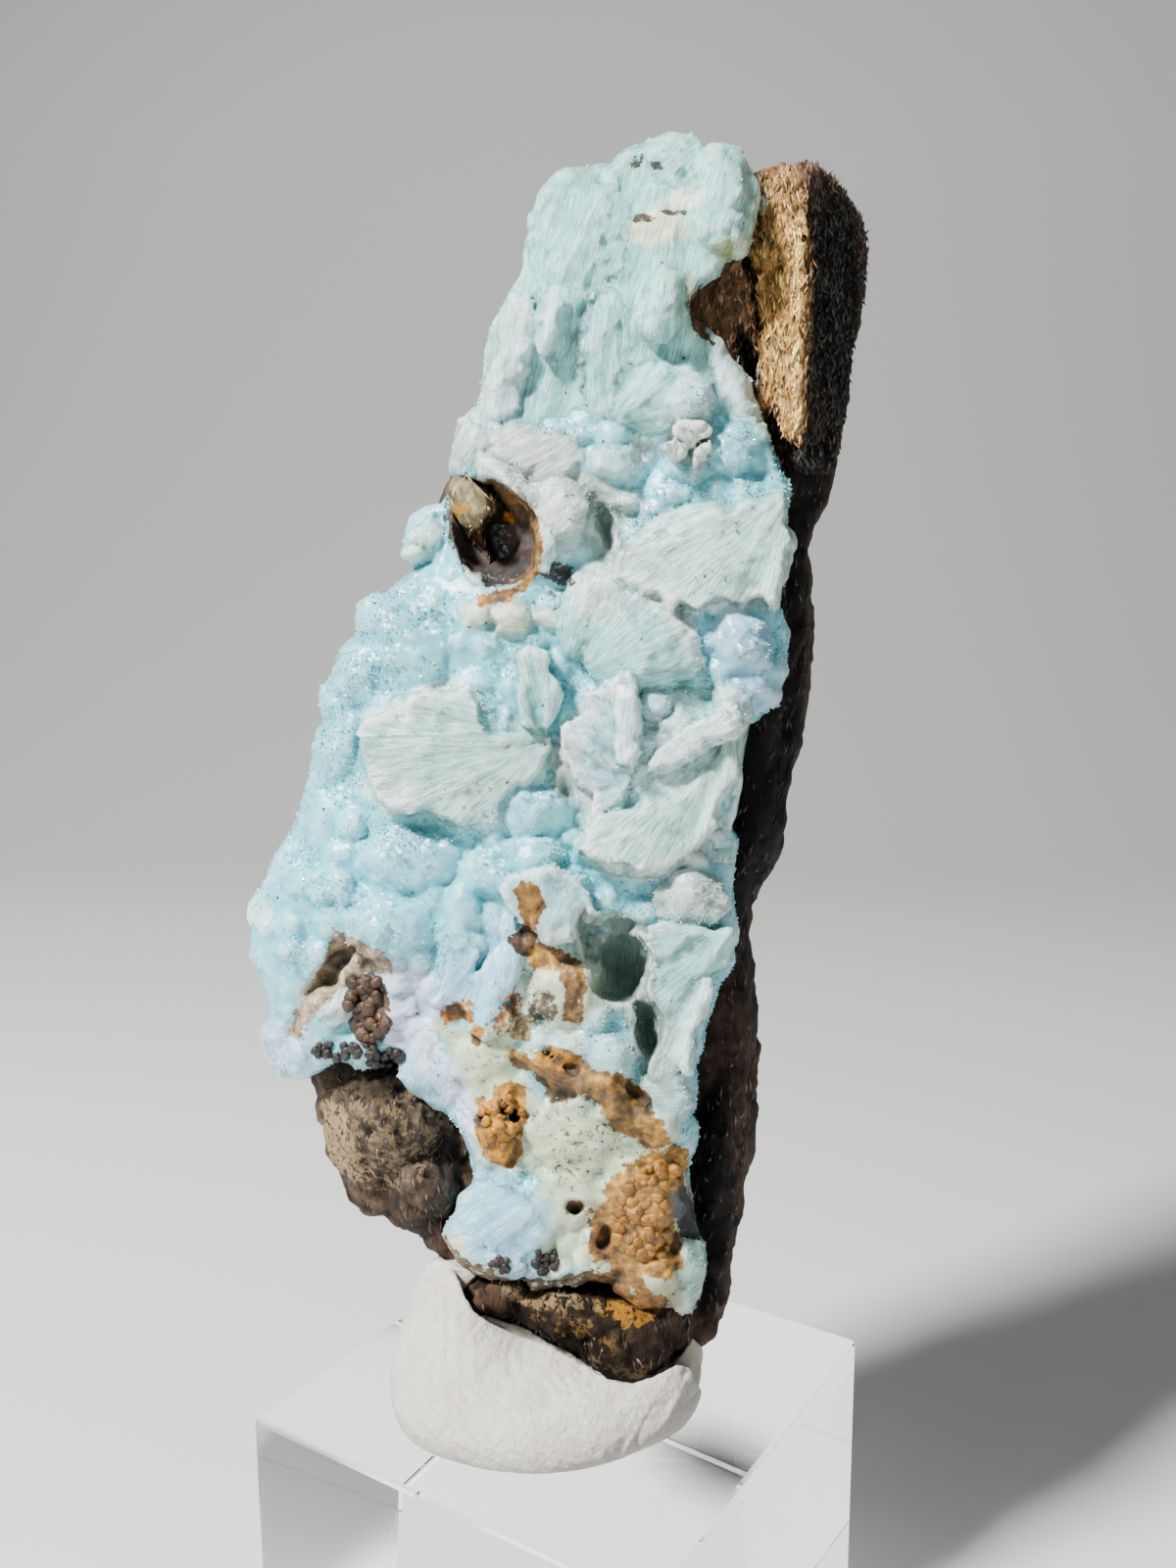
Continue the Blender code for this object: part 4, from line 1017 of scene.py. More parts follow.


# Soft changes of the crust's colour, read in the same way as those of the rock. A spot is given by
# its middle, half sizes and tilt, a patch by its corners. The grey pocket, the green right edge and the
# ledge shadow are darkened as painted shade.
CRUST_TINTS = {
    "cream break": (((674, 232), (40, 24), -10), "#EFEFCB", 0.95, 0.6),
    "cream upper break": (((694, 204), (30, 14), -20), "#EDEFD8", 0.8, 0.8),
    "green edge": (((742, 252), (26, 16), -24), "#A3AD58", 0.8, 0.5),
    "green edge foot": (((704, 296), (8, 22), 0), "#9AA862", 0.6, 0.5),
    "grey druse by the hole": (((566, 500), (60, 62), 0), "#C2C6B8", 0.75, 0.7),
    "grey shoulder": (((534, 462), (64, 26), 14), "#C3C8BC", 0.7, 0.7),
    # Painted shade: the grey druse is painted darker inside the pocket.
    "grey pocket": (((620, 532), (36, 54), 0), "#7F8C84", 0.8, 0.6),
    "white fan rim": (((396, 806), (36, 22), 30), "#E2E6E4", 0.6, 0.8),
    "white shell rim": ([(584, 588), (600, 580), (628, 580), (660, 592), (690, 614), (708, 644), (716, 678),
                         (706, 680), (696, 650), (676, 624), (650, 606), (620, 596), (598, 602)],
                        "#E6ECEA", 0.75, 0.6),
    "grey shell crown": (((606, 610), (44, 26), 20), "#C3CAC6", 0.7, 0.7),
    "white low fan rim": ([(590, 856), (606, 848), (604, 866), (640, 884), (700, 876), (730, 846), (740, 850),
                           (706, 888), (660, 896), (600, 884)], "#E6ECE8", 0.7, 0.7),
    "white cluster rim": ([(572, 756), (582, 738), (604, 712), (636, 690), (644, 700), (612, 722), (594, 744),
                           (588, 776), (600, 800), (614, 832), (604, 836), (586, 806), (574, 780)],
                          "#E2E8EA", 0.8, 0.8),
    "white fan crown": ([(412, 716), (440, 700), (478, 694), (488, 714), (484, 726), (470, 708), (440, 714),
                         (420, 732), (376, 742), (370, 732)], "#E4ECE6", 0.7, 0.8),
    "white large fan edge": ([(690, 614), (730, 610), (790, 600), (786, 616), (740, 624), (700, 624)],
                             "#E2EAE6", 0.6, 0.7),
    "white left corner": (((262, 930), (20, 18), 30), "#D6E6DC", 0.6, 0.6),
    "white ground": ([(396, 985), (440, 990), (470, 1010), (446, 1030), (444, 1060), (470, 1090), (486, 1120),
                      (486, 1180), (470, 1150), (440, 1110), (420, 1080), (396, 1060), (380, 1030)],
                     "#CBD3E6", 0.85, 0.9),
    "white rim of the recess": (((346, 1020), (28, 26), 0), "#D5D8E2", 0.8, 0.6),
    "left foot": (((290, 1070), (46, 30), 0), "#B7C9DC", 0.6, 0.5),
    "green ground": ([(440, 1036), (470, 1050), (500, 1048), (520, 1046), (524, 1080), (540, 1110),
                      (560, 1122), (600, 1122), (618, 1150), (640, 1160), (680, 1172), (640, 1196),
                      (612, 1216), (608, 1250), (600, 1290), (560, 1304), (548, 1240), (560, 1200),
                      (520, 1190), (488, 1186), (486, 1120), (466, 1090)], "#BAC79C", 0.9, 0.5),
    "stained lump": (((566, 1012), (62, 62), 0), "#BCC2A0", 0.85, 0.4),
    "low right ground": ([(606, 1230), (640, 1200), (700, 1180), (706, 1240), (700, 1340), (640, 1310),
                          (600, 1300)], "#A9A87C", 0.9, 0.5),
    "blue break": (((512, 1246), (60, 46), -10), "#8CC6DE", 0.7, 0.6),
    "blue upper break": ([(440, 1012), (470, 980), (500, 960), (524, 930), (530, 990), (520, 1040),
                          (500, 1050), (476, 1040)], "#8ACBE2", 0.7, 0.4),
    "cream corner": (((462, 1272), (18, 20), 0), "#D6CB9C", 0.9, 0.5),
    # Green crust, darkened as painted shade on the right edge, which is turned from the lamp.
    "green right edge": ([(700, 1240), (716, 1250), (720, 1340), (704, 1346), (696, 1300)], "#5F9482", 0.9,
                         0.2),
    "ledge shadow": (((668, 1128), (30, 40), -14), "#93B0A0", 0.7, 0.4),
}

# Limonite stains on the crust, with crisp grainy edges
CRUST_STAINS = {
    "dark mark": (((657, 222), (14, 6), 0), "#4A3A24", 0.75, 0.8),
    "second dark mark": (((688, 216), (20, 4), 4), "#4A3A24", 0.7, 0.8),
    "top dark mark": (((648, 164), (14, 9), -30), "#2E2820", 0.7, 0.9),
    "second top dark mark": (((668, 168), (15, 8), 20), "#2E2820", 0.7, 0.9),
    "tongue rim": ([(700, 312), (716, 294), (722, 300), (712, 316), (728, 350), (716, 344)], "#4E3218", 0.9,
                   0.6),
    "hole rim": ([(500, 484), (524, 504), (546, 530), (554, 552), (550, 580), (538, 602), (514, 614),
                  (486, 614), (486, 606), (512, 604), (530, 594), (542, 574), (544, 552), (534, 534),
                  (512, 516), (496, 500)],
                 "#A8741C", 0.95, 0.5),
    "rust in the hole": (((502, 544), (54, 78), -34), "#2C1B10", 1.0, 0.2),
    "rust by the hole": (((512, 606), (24, 9), -14), "#7A4A12", 0.9, 0.8),
    "grey of the hole": (((474, 500), (26, 26), -20), "#5F5440", 0.65, 0.9),
    "purple stain": (((570, 586), (20, 20), 0), "#241C24", 0.75, 0.9),
    "purple lower stain": (((560, 612), (26, 18), 0), "#4E4446", 0.5, 0.9),
    "brown strip": ([(522, 906), (536, 903), (550, 905), (554, 920), (552, 934), (546, 948), (542, 962),
                     (532, 958), (534, 942), (530, 926)], "#7E5614", 1.0, 0.5),
    "brown strip foot": ([(522, 960), (534, 952), (544, 958), (540, 976), (530, 972)], "#3C2410", 1.0, 0.5),
    "tan recess": ([(340, 948), (352, 953), (374, 966), (400, 980), (398, 992), (372, 992), (350, 1004),
                    (334, 1022), (318, 1042), (306, 1060), (290, 1060), (298, 1034), (316, 1010), (330, 985),
                    (336, 965)], "#8B7B62", 0.9, 0.4),
    "brown between": ([(352, 1000), (372, 996), (394, 1004), (398, 1030), (392, 1060), (372, 1068),
                       (356, 1056), (362, 1030)], "#52381C", 0.85, 0.7),
    "spots": ([(448, 1032), (462, 1022), (476, 1024), (480, 1040), (470, 1044), (456, 1046)],
              "#A8640F", 0.8, 0.9),
    "low spots": (((488, 1056), (8, 14), 0), "#A8640F", 0.85, 0.7),
    "right spots": (((508, 1046), (8, 16), 24), "#9A5C12", 0.8, 0.8),
    "upper right spots": (((524, 1022), (12, 26), 10), "#9A5C12", 0.65, 0.9),
    "lump band": ([(540, 960), (556, 964), (578, 970), (592, 984), (600, 1002), (600, 1022), (590, 1042),
                   (578, 1040), (578, 1012), (570, 992), (556, 984), (546, 992), (540, 978)], "#7A5626",
                   0.85, 0.8),
    "lump gold": (((552, 982), (18, 14), 30), "#B8801E", 0.8, 0.9),
    "lump dark middle": (((553, 1030), (22, 24), 0), "#4C4230", 0.75, 0.5),
    "lump tan foot": (((532, 1050), (18, 18), 30), "#8E7448", 0.7, 0.8),
    "ledge": ([(520, 1078), (530, 1072), (545, 1079), (560, 1070), (574, 1071), (592, 1081), (602, 1092),
               (618, 1094), (638, 1102), (655, 1118), (667, 1136), (679, 1156), (687, 1168), (672, 1170),
               (658, 1166), (642, 1158), (628, 1152), (616, 1142), (606, 1128), (596, 1120), (580, 1118),
               (565, 1122), (560, 1108), (548, 1102), (534, 1092)], "#7E581A", 1.0, 0.6),
    "ledge dark": ([(560, 1090), (580, 1100), (600, 1104), (626, 1112), (650, 1132), (668, 1156), (650, 1146),
                    (626, 1126), (600, 1116), (572, 1114)], "#38220F", 0.7, 0.9),
    "ledge gold": (((560, 1078), (30, 10), 20), "#B87A1C", 0.7, 0.9),
    "orange patch": ([(508, 1108), (520, 1104), (536, 1110), (538, 1126), (534, 1142), (531, 1160),
                      (534, 1180), (520, 1188), (504, 1188), (496, 1176), (488, 1160), (484, 1142),
                      (488, 1132), (486, 1122), (500, 1124)], "#A8700C", 1.0, 0.5),
    "speckles": (((590, 1160), (76, 66), 0), "#6E5420", 0.42, 0.9),
    "speckles on the left": (((500, 1076), (50, 60), 0), "#8A6A2C", 0.36, 0.9),
    "ochre zone": ([(664, 1182), (690, 1168), (702, 1174), (702, 1196), (696, 1214), (688, 1226),
                    (686, 1250), (692, 1270), (694, 1292), (680, 1302), (660, 1298), (640, 1302),
                    (620, 1292), (608, 1284), (602, 1268), (604, 1250), (614, 1236), (622, 1226),
                    (610, 1216), (624, 1202), (640, 1194)],
                   "#96681A", 1.0, 0.6),
    "ochre ground": (((636, 1250), (56, 74), 10), "#8A6A34", 0.55, 0.9),
    "ochre foot": ([(596, 1302), (616, 1298), (642, 1300), (664, 1316), (680, 1328), (684, 1346), (660, 1362),
                    (620, 1342), (600, 1330)], "#6A4818", 1.0, 0.7),
    "brown pit floor": (((614, 1266), (16, 22), -20), "#6A3E0C", 1.0, 0.2),
    "small brown pit": (((586, 1232), (12, 8), 0), "#6A3E0C", 1.0, 0.3),
    "orange pit floor": (((519, 1136), (14, 8), 0), "#2A1808", 1.0, 0.3),
    "third orange pit floor": (((492, 1144), (9, 10), 0), "#2A1808", 1.0, 0.3),
    "foot rim": ([(452, 1262), (470, 1284), (500, 1296), (530, 1308), (560, 1306), (600, 1300), (604, 1316),
                  (560, 1324), (520, 1316), (480, 1302), (460, 1286)], "#5E4A2E", 0.75, 0.9),
    "dark blue patch": ([(686, 1214), (702, 1210), (712, 1230), (712, 1262), (698, 1258), (688, 1240)],
                        "#262C34", 0.9, 0.6),
}

crust_near = np.nonzero(np.abs(crust_field.cells) < 24.0)
crust_places = np.stack(crust_near, axis=1) * CRUST_STEP + crust_field.low
crust_relief = 3.4 * rugged(crust_places, 50.0, 61, 4) + 1.6 * swell(crust_places, 12.0, 67)
crust_field.cells[crust_near] -= crust_relief.astype(np.float32)
crust_inside = np.nonzero(crust_field.cells < 24.0)
crust_places = np.stack(crust_inside, axis=1) * CRUST_STEP + crust_field.low
crust_field.cells[crust_inside] = np.maximum(
    crust_field.cells[crust_inside], 2.6 - blended(rock_field, crust_places)).astype(np.float32)

# The crust's left edge ends 35 mm from the middle of the block
crust_inside = np.nonzero(crust_field.cells < 24.0)
crust_beside = real_place(np.stack(crust_inside, axis=1) * CRUST_STEP + crust_field.low)[:, 0] / MM
crust_field.cells[crust_inside] = np.maximum(
    crust_field.cells[crust_inside], (CRUST_FAR_LEFT - crust_beside) / STEP_MM).astype(np.float32)

crust_points, crust_quads = crust_field.surface()
crust_out = outward(crust_points, crust_quads)
crust_look = np.array([list(LOOKS).index(look) for look, run in crust_owners])
crust_owner = crust_field.look_up(crust_field.owner, crust_points)
crust_look = crust_look[crust_owner]
crust_across = np.zeros(len(crust_points))
crust_along = np.zeros(len(crust_points))
for number, (look, run) in enumerate(crust_owners):
    mine = crust_owner == number
    crust_across[mine], crust_along[mine] = needles(crust_points[mine], run)
look_colour = np.array([linear(LOOKS[look][0]) for look in LOOKS])[crust_look]
look_sparkle = np.array([LOOKS[look][1] for look in LOOKS])[crust_look]
look_streak = np.array([LOOKS[look][2] for look in LOOKS])[crust_look]

look_colour = evened(look_colour, crust_quads, 6)
look_sparkle = evened(look_sparkle, crust_quads, 5)
look_streak = evened(look_streak, crust_quads, 5)

crust_lines = np.stack((crust_across / 7.0, crust_along / 70.0, crust_points[:, 1] * 0.02), axis=1)
crust_slabs = np.stack((crust_across / 24.0, crust_along / 130.0, crust_points[:, 1] * 0.01), axis=1)
crust_stain = stain_layer(crust_points, CRUST_STAINS, 101)
crust_tint = stain_layer(crust_points, CRUST_TINTS, 111)
look_colour += (crust_tint[:, :3] - look_colour) * crust_tint[:, 3:]
crust_skin = (
    -3.4 * crust_stain[:, 3] * packed_lumps(crust_points, 10.0, 77)
    + 0.6 * look_sparkle * packed_lumps(crust_points, 11.0, 71)
    + 1.2 * look_streak * swell(crust_lines, 1.0, 73)
    + 2.2 * look_streak * np.tanh(4.0 * swell(crust_slabs, 1.0, 75))
    + 0.6 * swell(crust_points, 7.0, 79)
)
crust_seen = blended(rock_field, crust_points) > 7.0
crust_points = crust_points + crust_out * (crust_skin * crust_seen)[:, None]

crust_colour = look_colour * (1.0 + 0.14 * rugged(crust_points, 70.0, 83, 3)[:, None])
crust_fine = ((crust_points - evened(crust_points, crust_quads, 8)) * crust_out).sum(axis=1)
crust_wide = ((crust_points - evened(crust_points, crust_quads, 50)) * crust_out).sum(axis=1)
crust_crest = np.clip(0.22 * crust_fine + 0.016 * crust_wide, -1.0, 1.0)[:, None]
# Crests are whitened, partly as the real white rims of broken shells and fans and partly as a painted
# highlight on the tops of the lumps; creases get painted shade, a darker blue.
crest_white, painted_crease_shade = np.array(linear("#E6F1EE")), np.array(linear("#3F7C86"))
crust_colour += np.clip(crust_crest, 0.0, 0.65) * (crest_white - crust_colour)
crust_colour += np.clip(-crust_crest * 0.8, 0.0, 0.45) * (painted_crease_shade - crust_colour)
look_sparkle = look_sparkle * (1.0 - 0.7 * crust_stain[:, 3])
# Painted highlight and painted shade: stains are painted lighter on crests and darker in creases, with some
# random tone.
crust_stain[:, :3] *= np.clip(1.0 + 1.5 * crust_crest + 0.5 * rugged(crust_points, 14.0, 87, 2)[:, None],
                              0.2, 2.0)

crust = make_piece("hemimorphite_crystals", real_place(crust_points), crust_quads)
note(crust, "Colour", "FLOAT_COLOR", with_shade(crust_colour))
note(crust, "Stain", "FLOAT_COLOR", crust_stain)
note(crust, "Needles", "FLOAT_VECTOR", np.stack((crust_across, crust_along, crust_points[:, 1]), axis=1))
note(crust, "Sparkle", "FLOAT", look_sparkle)
note(crust, "Streak", "FLOAT", look_streak)
thin_hidden(crust, ~crust_seen, CRUST_TRIANGLES)
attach(crust, "root")
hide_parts("hemimorphite_crust")

# Hemimorphite: translucent, silky where needles are broken along their length, glassy on crystal faces.
# Needles are about 0.1 mm thick, too fine to show, so the streaks are drawn 0.25 mm wide, and the
# skin's small faces, really about 0.2 mm, are drawn 0.5 mm wide.
hemimorphite, shader = new_material("hemimorphite")
place = add_node(hemimorphite, "TexCoord").outputs["Object"]
colour = add_node(hemimorphite, "Attribute", attribute_name="Colour").outputs["Color"]
needle = add_node(hemimorphite, "Attribute", attribute_name="Needles").outputs["Vector"]
sparkle = add_node(hemimorphite, "Attribute", attribute_name="Sparkle").outputs["Fac"]
streak = add_node(hemimorphite, "Attribute", attribute_name="Streak").outputs["Fac"]
run = add_node(hemimorphite, "Mapping", {"Vector": needle, "Scale": (0.62, 0.045, 0.08)})
lines = add_node(hemimorphite, "TexNoise", {"Vector": run.outputs["Vector"], "Scale": 1.0, "Detail": 5.0,
                                            "Roughness": 0.72, "Distortion": 0.3})
line_share = add_node(hemimorphite, "MapRange", {"Value": lines.outputs["Fac"], "From Min": 0.36,
                                                 "From Max": 0.66, "To Min": -0.44, "To Max": 0.54})
line_share = add_node(hemimorphite, "Math", {0: line_share.outputs["Result"], 1: streak},
                      operation="MULTIPLY")
cloud = add_node(hemimorphite, "TexNoise", {"Vector": place, "Scale": 420.0, "Detail": 5.0, "Roughness": 0.6})
cloud_share = add_node(hemimorphite, "MapRange", {"Value": cloud.outputs["Fac"], "From Min": 0.3,
                                                  "From Max": 0.7, "To Min": -0.13, "To Max": 0.13})
slab_run = add_node(hemimorphite, "Mapping", {"Vector": needle, "Scale": (0.075, 0.016, 0.04)})
slab = add_node(hemimorphite, "TexVoronoi", {"Vector": slab_run.outputs["Vector"], "Scale": 1.0})
slab_tone = add_node(hemimorphite, "SeparateColor", {"Color": slab.outputs["Color"]})
slab_tone = add_node(hemimorphite, "MapRange", {"Value": slab_tone.outputs["Red"], "To Min": -0.10,
                                                "To Max": 0.10})
slab_tone = add_node(hemimorphite, "Math", {0: slab_tone.outputs["Result"], 1: streak}, operation="MULTIPLY")
tone = add_node(hemimorphite, "Math", {0: line_share.outputs[0], 1: cloud_share.outputs["Result"]},
                operation="ADD")
tone = add_node(hemimorphite, "Math", {0: tone.outputs[0], 1: slab_tone.outputs[0]}, operation="ADD")
tone = add_node(hemimorphite, "Math", {0: tone.outputs[0], 1: 1.0}, operation="ADD")
toned = add_node(hemimorphite, "VectorMath", {0: colour}, operation="SCALE")
link(hemimorphite, tone.outputs[0], toned.inputs["Scale"])

# Specks of limonite dust, about 0.3 mm, far apart
dust = add_node(hemimorphite, "TexVoronoi", {"Vector": place, "Scale": 520.0})
dust_share = add_node(hemimorphite, "MapRange", {"Value": dust.outputs["Distance"], "From Min": 0.06,
                                                 "From Max": 0.12, "To Min": 1.0, "To Max": 0.0})
dust_pick = add_node(hemimorphite, "SeparateColor", {"Color": dust.outputs["Color"]})
dust_pick = add_node(hemimorphite, "Math", {0: dust_pick.outputs["Red"], 1: 0.72}, operation="GREATER_THAN")
dust_share = add_node(hemimorphite, "Math", {0: dust_share.outputs["Result"], 1: dust_pick.outputs[0]},
                      operation="MULTIPLY")
dusted = add_node(hemimorphite, "Mix", {"Factor": dust_share.outputs[0], "A": toned.outputs["Vector"],
                                        "B": (*linear("#2E2A22"), 1)}, data_type="RGBA")
stained_colour, stain_edge = stain_nodes(hemimorphite, dusted.outputs["Result"], place, 1500.0)
link(hemimorphite, stained_colour, shader.inputs["Base Color"])

# Each small crystal face leans its own way, so a few of them catch the lamp
facet = add_node(hemimorphite, "TexVoronoi", {"Vector": place, "Scale": 2100.0})
lean = add_node(hemimorphite, "VectorMath", {0: facet.outputs["Color"], 1: (0.5, 0.5, 0.5)},
                operation="SUBTRACT")
cluster = add_node(hemimorphite, "TexNoise", {"Vector": place, "Scale": 230.0, "Detail": 3.0})
cluster = add_node(hemimorphite, "MapRange", {"Value": cluster.outputs["Fac"], "From Min": 0.44,
                                              "From Max": 0.6, "To Min": 0.12, "To Max": 0.95})
lean_amount = add_node(hemimorphite, "Math", {0: sparkle, 1: cluster.outputs["Result"]}, operation="MULTIPLY")
lean = add_node(hemimorphite, "VectorMath", {0: lean.outputs["Vector"]}, operation="SCALE")
link(hemimorphite, lean_amount.outputs[0], lean.inputs["Scale"])

# Where needles broke along their length, they part in flat slabs about 1 mm wide and 5 mm long
slab_lean = add_node(hemimorphite, "VectorMath", {0: slab.outputs["Color"], 1: (0.5, 0.5, 0.5)},
                     operation="SUBTRACT")
slab_amount = add_node(hemimorphite, "Math", {0: streak, 1: 0.45}, operation="MULTIPLY")
slab_lean = add_node(hemimorphite, "VectorMath", {0: slab_lean.outputs["Vector"]}, operation="SCALE")
link(hemimorphite, slab_amount.outputs[0], slab_lean.inputs["Scale"])
lean = add_node(hemimorphite, "VectorMath", {0: lean.outputs["Vector"], 1: slab_lean.outputs["Vector"]},
                operation="ADD")
line_bump = add_node(hemimorphite, "Math", {0: lines.outputs["Fac"], 1: streak}, operation="MULTIPLY")
bump = add_node(hemimorphite, "Bump", {"Height": line_bump.outputs[0], "Distance": 0.0005, "Strength": 0.8})
facing = add_node(hemimorphite, "VectorMath", {0: bump.outputs["Normal"], 1: lean.outputs["Vector"]},
                  operation="ADD")
facing = add_node(hemimorphite, "VectorMath", {0: facing.outputs["Vector"]}, operation="NORMALIZE")
link(hemimorphite, facing.outputs["Vector"], shader.inputs["Normal"])
gloss = add_node(hemimorphite, "MapRange", {"Value": sparkle, "From Min": 0.0, "From Max": 1.0,
                                            "To Min": 0.36, "To Max": 0.16})
gloss = add_node(hemimorphite, "Mix", {"Factor": stain_edge, "A": gloss.outputs["Result"], "B": 0.7})
link(hemimorphite, gloss.outputs["Result"], shader.inputs["Roughness"])
shader.inputs["IOR"].default_value = 1.61
wet = add_node(hemimorphite, "MapRange", {"Value": stain_edge, "To Min": 0.32, "To Max": 0.0})
link(hemimorphite, wet.outputs["Result"], shader.inputs["Coat Weight"])
ripple = add_node(hemimorphite, "TexNoise", {"Vector": place, "Scale": 1400.0, "Detail": 3.0})
ripple = add_node(hemimorphite, "Bump", {"Height": ripple.outputs["Fac"], "Distance": 0.0006,
                                         "Strength": 0.8})
link(hemimorphite, ripple.outputs["Normal"], shader.inputs["Coat Normal"])
shader.inputs["Coat Roughness"].default_value = 0.1
depth_share = add_node(hemimorphite, "MapRange", {"Value": stain_edge, "To Min": 0.35, "To Max": 0.0})
link(hemimorphite, depth_share.outputs["Result"], shader.inputs["Subsurface Weight"])
shader.inputs["Subsurface Radius"].default_value = (0.5, 0.9, 1.0)
shader.inputs["Subsurface Scale"].default_value = 0.0005
crust.data.materials.append(hemimorphite)


# The druse: the ends of the needles stand out of the whole lumps as tiny clear points, thin and
# wedge-shaped, 0.3 to 0.6 mm long. They crowd on the lumps' tops and the rims of the broken shells.
POINT_COUNT = 13000
point_chance = np.random.default_rng(11)
point_likely = look_sparkle ** 2 * (crust_out[:, 1] < 0.1) * crust_seen
point_likely *= np.clip(0.2 + 1.3 * rugged(crust_points, 44.0, 171, 2), 0.02, 1.0)
point_likely *= real_place(crust_points)[:, 0] > -34.6 * MM
point_at = point_chance.choice(len(crust_points), POINT_COUNT, p=point_likely / point_likely.sum())
point_lean = crust_out[point_at] + point_chance.normal(0.0, 0.5, (POINT_COUNT, 3))
point_places = crust_points[point_at] + point_chance.uniform(-1.6, 1.6, (POINT_COUNT, 3))
point_places -= 0.7 * crust_out[point_at]
point_white = point_chance.uniform(0.0, 0.6, (POINT_COUNT, 1)) ** 2
point_colours = crust_colour[point_at] * (1.0 - point_white) + crest_white * point_white
points = crystal_piece("hemimorphite_points", point_places, point_lean,
                       point_chance.normal(0.0, 1.0, (POINT_COUNT, 3)),
                       point_chance.uniform(1.4, 2.7, POINT_COUNT),
                       point_chance.uniform(0.9, 1.8, POINT_COUNT),
                       point_chance.uniform(0.4, 0.9, POINT_COUNT), point_colours)
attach(points, "root")
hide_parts("hemimorphite_crust")

# Hemimorphite points: glassy crystal faces that flash, over the same pale blue body
crystal_points, shader = new_material("hemimorphite_points")
colour = add_node(crystal_points, "Attribute", attribute_name="Colour").outputs["Color"]
link(crystal_points, colour, shader.inputs["Base Color"])
shader.inputs["Roughness"].default_value = 0.12
shader.inputs["IOR"].default_value = 1.61
shader.inputs["Subsurface Weight"].default_value = 0.3
shader.inputs["Subsurface Radius"].default_value = (0.5, 0.9, 1.0)
shader.inputs["Subsurface Scale"].default_value = 0.0003
points.data.materials.append(crystal_points)


# The beads: small brown botryoids and blocky grains of limonite, 0.5 to 1.6 mm, that sit in clusters on
# the crust above the left lump, along the broken edge below them, and in two rows at the crust's foot.
# Each cluster: its outline in the picture, how many beads, their smallest and largest radius in picture
# steps, their colour, and how deep they sit in the stone, as a share of the radius.
BEAD_CLUSTERS = {
    "brown botryoids": ([(358, 1002), (372, 998), (397, 1000), (399, 1018), (388, 1030), (396, 1044),
                         (392, 1058), (372, 1062), (356, 1056), (360, 1040), (352, 1026)],
                        46, 5.0, 8.0, "#3A2614", 0.1),
    "dark grains": ([(318, 1068), (334, 1062), (360, 1066), (388, 1066), (412, 1076), (408, 1090),
                     (380, 1088), (350, 1082), (324, 1080)], 44, 3.2, 6.0, "#1A1410", 0.2),
    "left foot row": ([(499, 1286), (512, 1282), (522, 1290), (520, 1298), (504, 1298)],
                      12, 3.2, 5.0, "#241B12", 0.2),
    "right foot row": ([(540, 1284), (552, 1276), (568, 1278), (573, 1290), (568, 1300), (548, 1300)],
                       20, 3.2, 5.4, "#1E1712", 0.2),
    "orange knobs": ([(492, 1126), (510, 1112), (534, 1114), (534, 1150), (524, 1182), (504, 1184),
                      (490, 1160)], 22, 3.2, 6.6, "#85560F", 0.6),
    "ochre knobs": ([(630, 1218), (660, 1190), (694, 1180), (690, 1220), (682, 1260), (686, 1290),
                     (650, 1294), (626, 1270)], 52, 4.0, 9.0, "#7E551C", 0.72),
}

ball = bmesh.new()
bmesh.ops.create_icosphere(ball, subdivisions=3, radius=1.0)
ball_points = np.array([corner.co[:] for corner in ball.verts])
ball_faces = np.array([[corner.index for corner in face.verts] for face in ball.faces])
ball.free()
seat_points = np.concatenate((crust_points, rock_points))
bead_chance = random.Random(19)
bead_points, bead_faces, bead_colours = [], [], []
for outline, count, smallest, largest, tone, sunk in BEAD_CLUSTERS.values():
    lows, highs = np.min(outline, axis=0), np.max(outline, axis=0)
    placed = 0
    while placed < count:
        across, down = bead_chance.uniform(lows[0], highs[0]), bead_chance.uniform(lows[1], highs[1])
        radius = bead_chance.uniform(smallest, largest)
        if outline_distance(np.array(across), np.array(down), outline) > -1.0:
            continue
        placed += 1
        near = (np.abs(seat_points[:, 0] - across) < 4.0) & (np.abs(seat_points[:, 2] - down) < 4.0)
        if not near.any():
            continue
        middle = np.array((across, seat_points[near, 1].min() + sunk * radius, down))
        shape = ball_points * (1.0 + 0.2 * rugged(ball_points + placed * 3.7, 0.9, 181, 2)[:, None])
        bead_faces.append(ball_faces + len(bead_points) * len(ball_points))
        bead_points.append(middle + shape * radius)
        shade = np.array(linear(tone)) * bead_chance.uniform(0.5, 1.7)
        bead_colours.append(np.tile(shade, (len(ball_points), 1)))
beads = make_piece("limonite_beads", real_place(np.concatenate(bead_points)), np.concatenate(bead_faces))
note(beads, "Colour", "FLOAT_COLOR", with_shade(np.concatenate(bead_colours)))
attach(beads, "root")
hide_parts("limonite_matrix")

# Limonite beads: brown to nearly black, with a dull gloss on their round skins and grain about 0.2 mm
bead_stone, shader = new_material("limonite_beads")
place = add_node(bead_stone, "TexCoord").outputs["Object"]
colour = add_node(bead_stone, "Attribute", attribute_name="Colour").outputs["Color"]
grain = add_node(bead_stone, "TexNoise", {"Vector": place, "Scale": 4000.0, "Detail": 4.0, "Roughness": 0.7})
shade = add_node(bead_stone, "MapRange", {"Value": grain.outputs["Fac"], "From Min": 0.34, "From Max": 0.68,
                                          "To Min": 0.35, "To Max": 1.9})
toned = add_node(bead_stone, "VectorMath", {0: colour}, operation="SCALE")
link(bead_stone, shade.outputs["Result"], toned.inputs["Scale"])
link(bead_stone, toned.outputs["Vector"], shader.inputs["Base Color"])
bump = add_node(bead_stone, "Bump", {"Height": grain.outputs["Fac"], "Distance": 0.0002, "Strength": 0.6})
link(bead_stone, bump.outputs["Normal"], shader.inputs["Normal"])
shader.inputs["Roughness"].default_value = 0.38
beads.data.materials.append(bead_stone)


